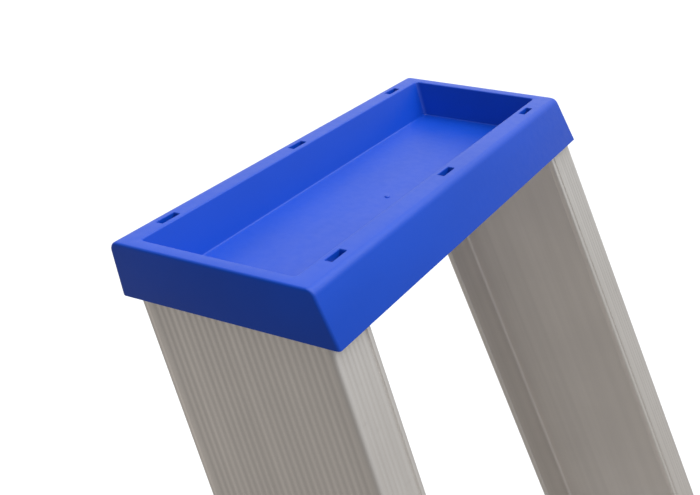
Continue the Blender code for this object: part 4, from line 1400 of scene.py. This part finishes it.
class LADDER_OT_crossbars(bpy.types.Operator):
    """Builds the crossbars and the two flat braces of the rear frame"""

    bl_idname = "ladder.crossbars"
    bl_label = "Crossbars and braces"

    def execute(self, context):
        rear, fixings = context.scene.ladder_rear, context.scene.ladder_fixings
        downs = crossbar_downs()
        for word, down in downs.items():
            self.crossbar(rear, word, down)
        places, facings = [], []
        for word, side in SIDES:
            places += self.brace(rear, fixings, word, side, downs["middle"], downs["lower"])
            facings += [rear_normal()] * 2
        sizes = (fixings.rivet_head, fixings.rivet_height)
        domed_heads("brace_rivets", (places, facings), "rear_frame", *sizes)
        return {"FINISHED"}

    def crossbar(self, rear, word, down):
        depth, height, wall = rear.bar_depth / 2, rear.bar_height / 2, BAR_WALL
        low, high = down - height, down + height
        ribs = {1: corrugated((depth, low + 0.004), (depth, high - 0.004), 7, 0.00015)}
        outer = rounded(rectangle(-depth, depth, low, high), 0.002, 5, ribs)
        hollow = rectangle(wall - depth, depth - wall, low + wall, high - wall)

        def end(side):
            return lambda across, d: rear_point(side * (leg_half_width(d) - rear.width - GAP), across, d)

        bar = prism([outer, hollow], end(-1), end(1))
        name = "rear_crossbar_" + word
        piece("crossbar_" + word, bar, finish("cross_aluminium"), "rear_frame", [name])

    def brace(self, rear, fixings, word, side, high, low):
        """A flat bar from the middle crossbar down to the outer end of the lower one."""
        start = Vector((0.030, high))
        end = Vector((leg_half_width(low) - rear.width - 0.022, low))
        along = (end - start).normalized()
        aside = Vector((-along.y, along.x)) * 0.009
        first, last = start - along * 0.010, end + along * 0.010
        outline = rounded([first + aside, last + aside, last - aside, first - aside], 0.0088, 10)
        near = rear.bar_depth / 2 + GAP

        def face(across):
            return lambda x, down: rear_point(side * x, across, down)

        bar = block(outline, face(near), face(near + fixings.bracket))
        soften(bar, 0.0006, 50.0, 3)
        name = "rear_brace_" + word
        piece("brace_" + word, bar, finish("plate"), "rear_frame", [name], 50.0)
        return [face(near + fixings.bracket)(*spot) for spot in (start, end)]


# ---------------------------------------------------------------- feet
def channel(stile, grow):
    """The stile's section, grown for the socket of its foot."""
    radii = [0.0013, 0.0018, 0.0010, *[0.0] * 8, 0.0010]
    return rounded(channel_corners(stile, grow), radii, 2)


# Each level of a boot: its height and how far it draws in. A groove repeats around it three times.
GROOVE_STARTS = (0.0060, 0.0128, 0.0196)
GROOVE_LEVELS = ((0.0, 0.0), (0.0006, 0.0011), (0.0026, 0.0011), (0.0032, 0.0))
FOOT_PROFILE = (
    (0.0, 0.0012),
    (0.0006, 0.0004),
    (0.0014, 0.0),
    *((start + rise, inset) for start in GROOVE_STARTS for rise, inset in GROOVE_LEVELS),
    (0.0490, 0.0),
    (0.0506, 0.0003),
    (0.0516, 0.0009),
    (0.0520, 0.0016),
)


def foot_body(section, place):
    """A boot lofted up from the floor: each level has its height and how far it draws in."""
    rings = []
    for height, inset in FOOT_PROFILE:
        at = place(height)
        rings.append([at(a, b) for a, b in section(inset)])
    return lofted(rings)


def sole_grooves(low, high):
    """The channels across a foot's sole."""
    cutters = []
    pitch = (high.y - low.y) / SOLE_PITCHES
    for k in range(1, SOLE_PITCHES):
        y = low.y + k * pitch
        box = rectangle(y - 0.0014, y + 0.0014, -0.0010, 0.0018)
        cutters.append(block(box, across(low.x - 0.005), across(high.x + 0.005)))
    return cutters


class LADDER_OT_feet(bpy.types.Operator):
    """Builds the four ribbed rubber feet with their sockets and soles"""

    bl_idname = "ladder.feet"
    bl_label = "Rubber feet"

    def execute(self, context):
        stile, rear = context.scene.ladder_stile, context.scene.ladder_rear
        for word, side in SIDES:
            low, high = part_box("front_foot_" + word)
            ends = [level_on_stile(side, z) for z in (SOCKET_FLOOR, SOCKET_TOP)]
            boot = foot_body(
                lambda inset: self.stile_section(stile, inset), lambda z: level_on_stile(side, z)
            )
            socket = prism([channel(stile, GAP)], *ends)
            whole = carved(boot, [socket, *sole_grooves(low, high)])
            name = "front_foot_" + word
            piece("boot_front_" + word, whole, finish("rubber"), "front_frame", [name])
            low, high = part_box("rear_foot_" + word)
            boot = foot_body(lambda inset: self.leg_section(rear, inset), lambda z: self.leg_level(side, z))
            ends = [self.leg_level(side, z) for z in (SOCKET_FLOOR, SOCKET_TOP)]
            socket = prism([leg_outline(rear, GAP), leg_hollow(rear, rear.wall + GAP)], *ends)
            whole = carved(boot, [socket, *sole_grooves(low, high)])
            name = "rear_foot_" + word
            piece("boot_rear_" + word, whole, finish("rubber"), "rear_frame", [name])
        return {"FINISHED"}

    def leg_level(self, side, z):
        return on_leg(side, lambda across: down_at(across, z))

    def stile_section(self, stile, inset):
        grow = FOOT_WALL + GAP - inset
        half = stile.depth / 2 + grow
        return rounded(rectangle(-grow, stile.flange + grow, -half, half), 0.003, 5)

    def leg_section(self, rear, inset):
        grow = FOOT_WALL + GAP - inset
        half = rear.depth / 2 + grow
        return rounded(rectangle(-grow, rear.width + grow, -half, half), 0.003, 5)


# ---------------------------------------------------------------- spreader straps
def strap_path(side):
    """Places down a strap: the tab on the stile, the bend, the hanging span, the bend and the tab on the leg.
    """
    hinge_up = front_axes(HINGE)[1]
    lift = GAP + STRAP_THICK / 2
    front = front_point(0, STILE_HALF + lift, hinge_up - STRAP_DOWN)
    rear = rear_point(0, -LEG_HALF - lift, STRAP_DOWN)
    down_stile = front_point(0, 0, -1) - front_point(0, 0, 0)
    up_leg = rear_point(0, 0, -1) - rear_point(0, 0, 0)
    places = [front + down_stile * (STRAP_TAB * (1 - k / 12)) for k in range(11)]

    def hang(t):
        return front.lerp(rear, t) - Vector((0, 0, STRAP_SAG * 4 * t * (1 - t)))

    def corner(start, middle, end):
        shares = [k / 6 for k in range(7)]
        return [start * (1 - t) ** 2 + middle * (2 * t * (1 - t)) + end * t**2 for t in shares]

    reach = STRAP_BEND / (rear - front).length
    places += corner(front + down_stile * STRAP_BEND, front, hang(reach))
    places += [hang(reach + (1 - 2 * reach) * k / 40) for k in range(1, 40)]
    places += corner(hang(1 - reach), rear, rear + up_leg * STRAP_BEND)
    places += [rear + up_leg * (STRAP_TAB * k / 12) for k in range(2, 13)]
    x = side * (half_width(hinge_up - STRAP_DOWN) - bpy.context.scene.ladder_stile.flange / 2 - 0.0008)
    return [Vector((x, p.y, p.z)) for p in places]


def strap_frames(places):
    """Each station with its square direction and its distance along the strap."""
    frames, distance = [], 0.0
    for i, place in enumerate(places):
        before, after = places[max(i - 1, 0)], places[min(i + 1, len(places) - 1)]
        along = (after - before).normalized()
        if i:
            distance += (place - places[i - 1]).length
        frames.append((place, along, Vector((0, -along.z, along.y)), distance))
    return frames


def hem(distance, total):
    """How much the folded hem adds: on the rear face at the front end and the front face at the rear."""

    def swell(inside):
        return HEM_THICK * min(1.0, max(0.0, (inside + HEM_SLOPE / 2) / HEM_SLOPE))

    return swell(HEM_LENGTH - distance), swell(distance - (total - HEM_LENGTH))


def strap_body(side, rear):
    """The webbing with its hems, and a UV map in metres across and along."""
    frames = strap_frames(strap_path(side))
    total = frames[-1][3]
    half_w, half_t = rear.strap_width / 2, STRAP_THICK / 2
    section = rounded(rectangle(-half_w, half_w, -half_t, half_t), STRAP_THICK * 0.45, 4)
    bm = bmesh.new()
    layer = bm.loops.layers.uv.new("strap")
    rows, where = [], {}
    for place, _, square, distance in frames:
        low, high = hem(distance, total)
        row = []
        for a, t in section:
            offset = t + (high if t > 0 else -low)
            corner = bm.verts.new(place + Vector((a, 0, 0)) + square * offset)
            where[corner] = (a, distance)
            row.append(corner)
        rows.append(row)
    for lower, upper in zip(rows, rows[1:]):
        for i in range(len(section)):
            on = (i + 1) % len(section)
            bm.faces.new((lower[i], lower[on], upper[on], upper[i]))
    bm.faces.new(list(reversed(rows[0])))
    bm.faces.new(rows[-1])
    for face in bm.faces:
        for loop in face.loops:
            loop[layer].uv = where[loop.vert]
    return face_outward(bm)


def hem_stitches(side, rear, at_front):
    """Places and directions of the box of stitches that holds a hem."""
    frames = strap_frames(strap_path(side))
    place, along, square, _ = frames[0] if at_front else frames[-1]
    inward, out = (along, -square) if at_front else (-along, square)
    base = place + out * (STRAP_THICK / 2 + HEM_THICK + 0.0001)
    width, pitch = rear.strap_width / 2 - 0.0022, 0.0032
    near, far = 0.0016, HEM_LENGTH - 0.0016
    places, facings = [], []

    def row(start, end):
        count = round((end - start).length / pitch)
        direction = (end - start).normalized()
        for k in range(count):
            places.append(start.lerp(end, (k + 0.5) / count))
            facings.append(direction)

    def spot(a, b):
        return base + Vector((a, 0, 0)) + inward * b

    row(spot(-width, near), spot(width, near))
    row(spot(-width, far), spot(width, far))
    row(spot(-width, near), spot(-width, far))
    row(spot(width, near), spot(width, far))
    row(spot(-width, near), spot(width, far))
    row(spot(-width, far), spot(width, near))
    return places, facings


class LADDER_OT_straps(bpy.types.Operator):
    """Builds the two webbing straps that hold the frames apart, with stitched hems and rivets"""

    bl_idname = "ladder.straps"
    bl_label = "Spreader straps"

    def execute(self, context):
        rear = context.scene.ladder_rear
        ends = {"front_frame": ([], []), "rear_frame": ([], [])}
        rivets = {"front_frame": ([], []), "rear_frame": ([], [])}
        for word, side in SIDES:
            path = strap_path(side)
            strap = plain_object("strap_" + word, strap_body(side, rear))
            smooth(strap.data, 40.0)
            strap.data.materials.append(finish("webbing"))
            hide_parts("spread_strap_" + word)
            tuple(path[11])
            tuple(path[-12])
            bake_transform(strap)
            cut = strap_frames(path)[-1][3] + 2 * HEM_LENGTH
            for body, at_front in (("front_frame", True), ("rear_frame", False)):
                places, facings = hem_stitches(side, rear, at_front)
                ends[body][0].extend(places)
                ends[body][1].extend(facings)
            self.rivet(rivets["front_frame"], path[0], path[1], front_normal())
            self.rivet(rivets["rear_frame"], path[-1], path[-2], -rear_normal())
        for body, word in (("front_frame", "front"), ("rear_frame", "rear")):
            mesh = points_mesh(f"strap_stitches_{word}", *ends[body])
            grown(f"strap_stitches_{word}", mesh, stitch_pattern(finish("stitching")), body)
            nodes = [f"strap_rivet_{word}_left", f"strap_rivet_{word}_right"]
            domed_heads(f"strap_rivets_{word}", rivets[body], body, 0.0060, 0.0017, nodes)
        return {"FINISHED"}

    def rivet(self, rows, end, inner, out):
        """Sets a rivet a little way in from the strap's end."""
        inward = (inner - end).normalized()
        rows[0].append(end + inward * RIVET_IN + out * (STRAP_THICK / 2 + 0.0001))
        rows[1].append(out)


# ---------------------------------------------------------------- studio
class LADDER_OT_studio(bpy.types.Operator):
    """Sets out the floor, the soft lights and the camera"""

    bl_idname = "ladder.studio"
    bl_label = "Studio"

    def execute(self, context):
        settings = context.scene.ladder_studio
        self.floor(settings)
        self.lights(context.scene, settings)
        self.camera(context.scene)
        return {"FINISHED"}

    def floor(self, settings):
        bm = bmesh.new()
        bmesh.ops.create_circle(bm, cap_ends=True, segments=96, radius=FLOOR_RADIUS)
        bmesh.ops.translate(bm, verts=bm.verts, vec=(0, 0, -0.0005))
        obj = plain_object("studio_floor", bm)
        look = Finish("studio_floor", tuple(settings.floor), 0.9, 0.0, Specular_IOR_Level=0.1)
        obj.data.materials.append(look.done())
        obj.visible_diffuse = False
        obj.visible_glossy = False

    def lights(self, scene, settings):
        world = scene.world or bpy.data.worlds.new("studio")
        scene.world = world
        world.use_nodes = True
        sky = Nodes(world.node_tree)
        towards = sky.node("ShaderNodeTexCoord").outputs["Generated"]
        upper = sky.node("ShaderNodeValue").outputs[0]
        upper.default_value = settings.even
        panels = (
            (SOFTBOX_FROM, settings.softbox, 1.0),
            (FILL_FROM, settings.fill, 1.0),
            (BACKDROP_FROM, settings.backdrop, 1.0),
            (SHEEN_FROM, settings.sheen, SHEEN_FOCUS),
        )
        for direction, strength, focus in panels:
            aim = {0: towards, 1: Vector(direction).normalized()}
            facing = sky.node("ShaderNodeVectorMath", aim, operation="DOT_PRODUCT").outputs["Value"]
            lit = sky.math("POWER", sky.math("MAXIMUM", facing, 0.0), focus)
            upper = sky.math("MULTIPLY_ADD", lit, strength, upper)
        height = sky.node("ShaderNodeSeparateXYZ", {0: towards}).outputs[2]
        total = sky.math("ADD", upper, sky.smoothstep(height, 0.08, -0.30, 0.0, settings.bounce))
        tints = {0: sky.smoothstep(height, 0.05, -0.25, 0.0, 1.0), 6: WHITE, 7: (*settings.bounce_tint, 1.0)}
        tint = sky.node("ShaderNodeMix", tints, data_type="RGBA").outputs[2]
        seen = sky.node("ShaderNodeLightPath").outputs["Is Camera Ray"]
        strength = sky.node("ShaderNodeMix", {0: seen, 2: total, 3: 1.0}, data_type="FLOAT").outputs[0]
        background = sky.tree.nodes["Background"]
        sky.tree.links.new(tint, background.inputs["Color"])
        sky.tree.links.new(strength, background.inputs["Strength"])
        sun = bpy.data.lights.new("key", "SUN")
        sun.energy = settings.key
        sun.color = KEY_COLOUR
        sun.angle = KEY_SPREAD
        key = bpy.data.objects.new("key", sun)
        key.rotation_euler = Vector(KEY_FROM).to_track_quat("Z", "Y").to_euler()
        scene.collection.objects.link(key)

    def camera(self, scene):
        lens = bpy.data.cameras.new("camera")
        lens.lens = LENS
        lens.sensor_width = SENSOR
        lens.clip_start = 0.02
        lens.clip_end = 200.0
        camera = bpy.data.objects.new("camera", lens)
        x, y, z = CAMERA_FROM_TRAY
        camera.location = Vector((x, TRAY_Y + y, TRAY_TOP + z))
        level, drop = math.cos(CAMERA_PITCH), math.sin(CAMERA_PITCH)
        forward = Vector((math.cos(CAMERA_YAW) * level, math.sin(CAMERA_YAW) * level, -drop))
        camera.rotation_euler = forward.to_track_quat("-Z", "Y").to_euler()
        scene.collection.objects.link(camera)
        scene.camera = camera
        scene.view_settings.view_transform = "Standard"


# ---------------------------------------------------------------- panel and registration
class LADDER_PT_panel(bpy.types.Panel):
    """Lists the steps that build the ladder"""

    bl_idname = "LADDER_PT_panel"
    bl_label = "Platform Step Ladder"
    bl_space_type = "VIEW_3D"
    bl_region_type = "UI"
    bl_category = "Ladder"

    def draw(self, context):
        for step in STEPS:
            self.layout.operator(step.bl_idname)


STEPS = (
    LADDER_OT_studio,
    LADDER_OT_tray,
    LADDER_OT_stiles,
    LADDER_OT_treads,
    LADDER_OT_tie_rods,
    LADDER_OT_platform,
    LADDER_OT_hinges,
    LADDER_OT_support_tube,
    LADDER_OT_rear_legs,
    LADDER_OT_crossbars,
    LADDER_OT_feet,
    LADDER_OT_straps,
)
SETTINGS = {
    "ladder_tray": TraySizes,
    "ladder_stile": StileSizes,
    "ladder_step": StepSizes,
    "ladder_rear": RearSizes,
    "ladder_fixings": FixingSizes,
    "ladder_studio": StudioSettings,
}
CLASSES = (*SETTINGS.values(), *STEPS, LADDER_PT_panel)


def register():
    for cls in CLASSES:
        bpy.utils.register_class(cls)
    for name, group in SETTINGS.items():
        setattr(bpy.types.Scene, name, PointerProperty(type=group))


def unregister():
    for name in SETTINGS:
        delattr(bpy.types.Scene, name)
    for cls in reversed(CLASSES):
        bpy.utils.unregister_class(cls)


def main():
    register()
    for step in STEPS:
        group, name = step.bl_idname.split(".")
        getattr(getattr(bpy.ops, group), name)()


if __name__ == "__main__":
    main()
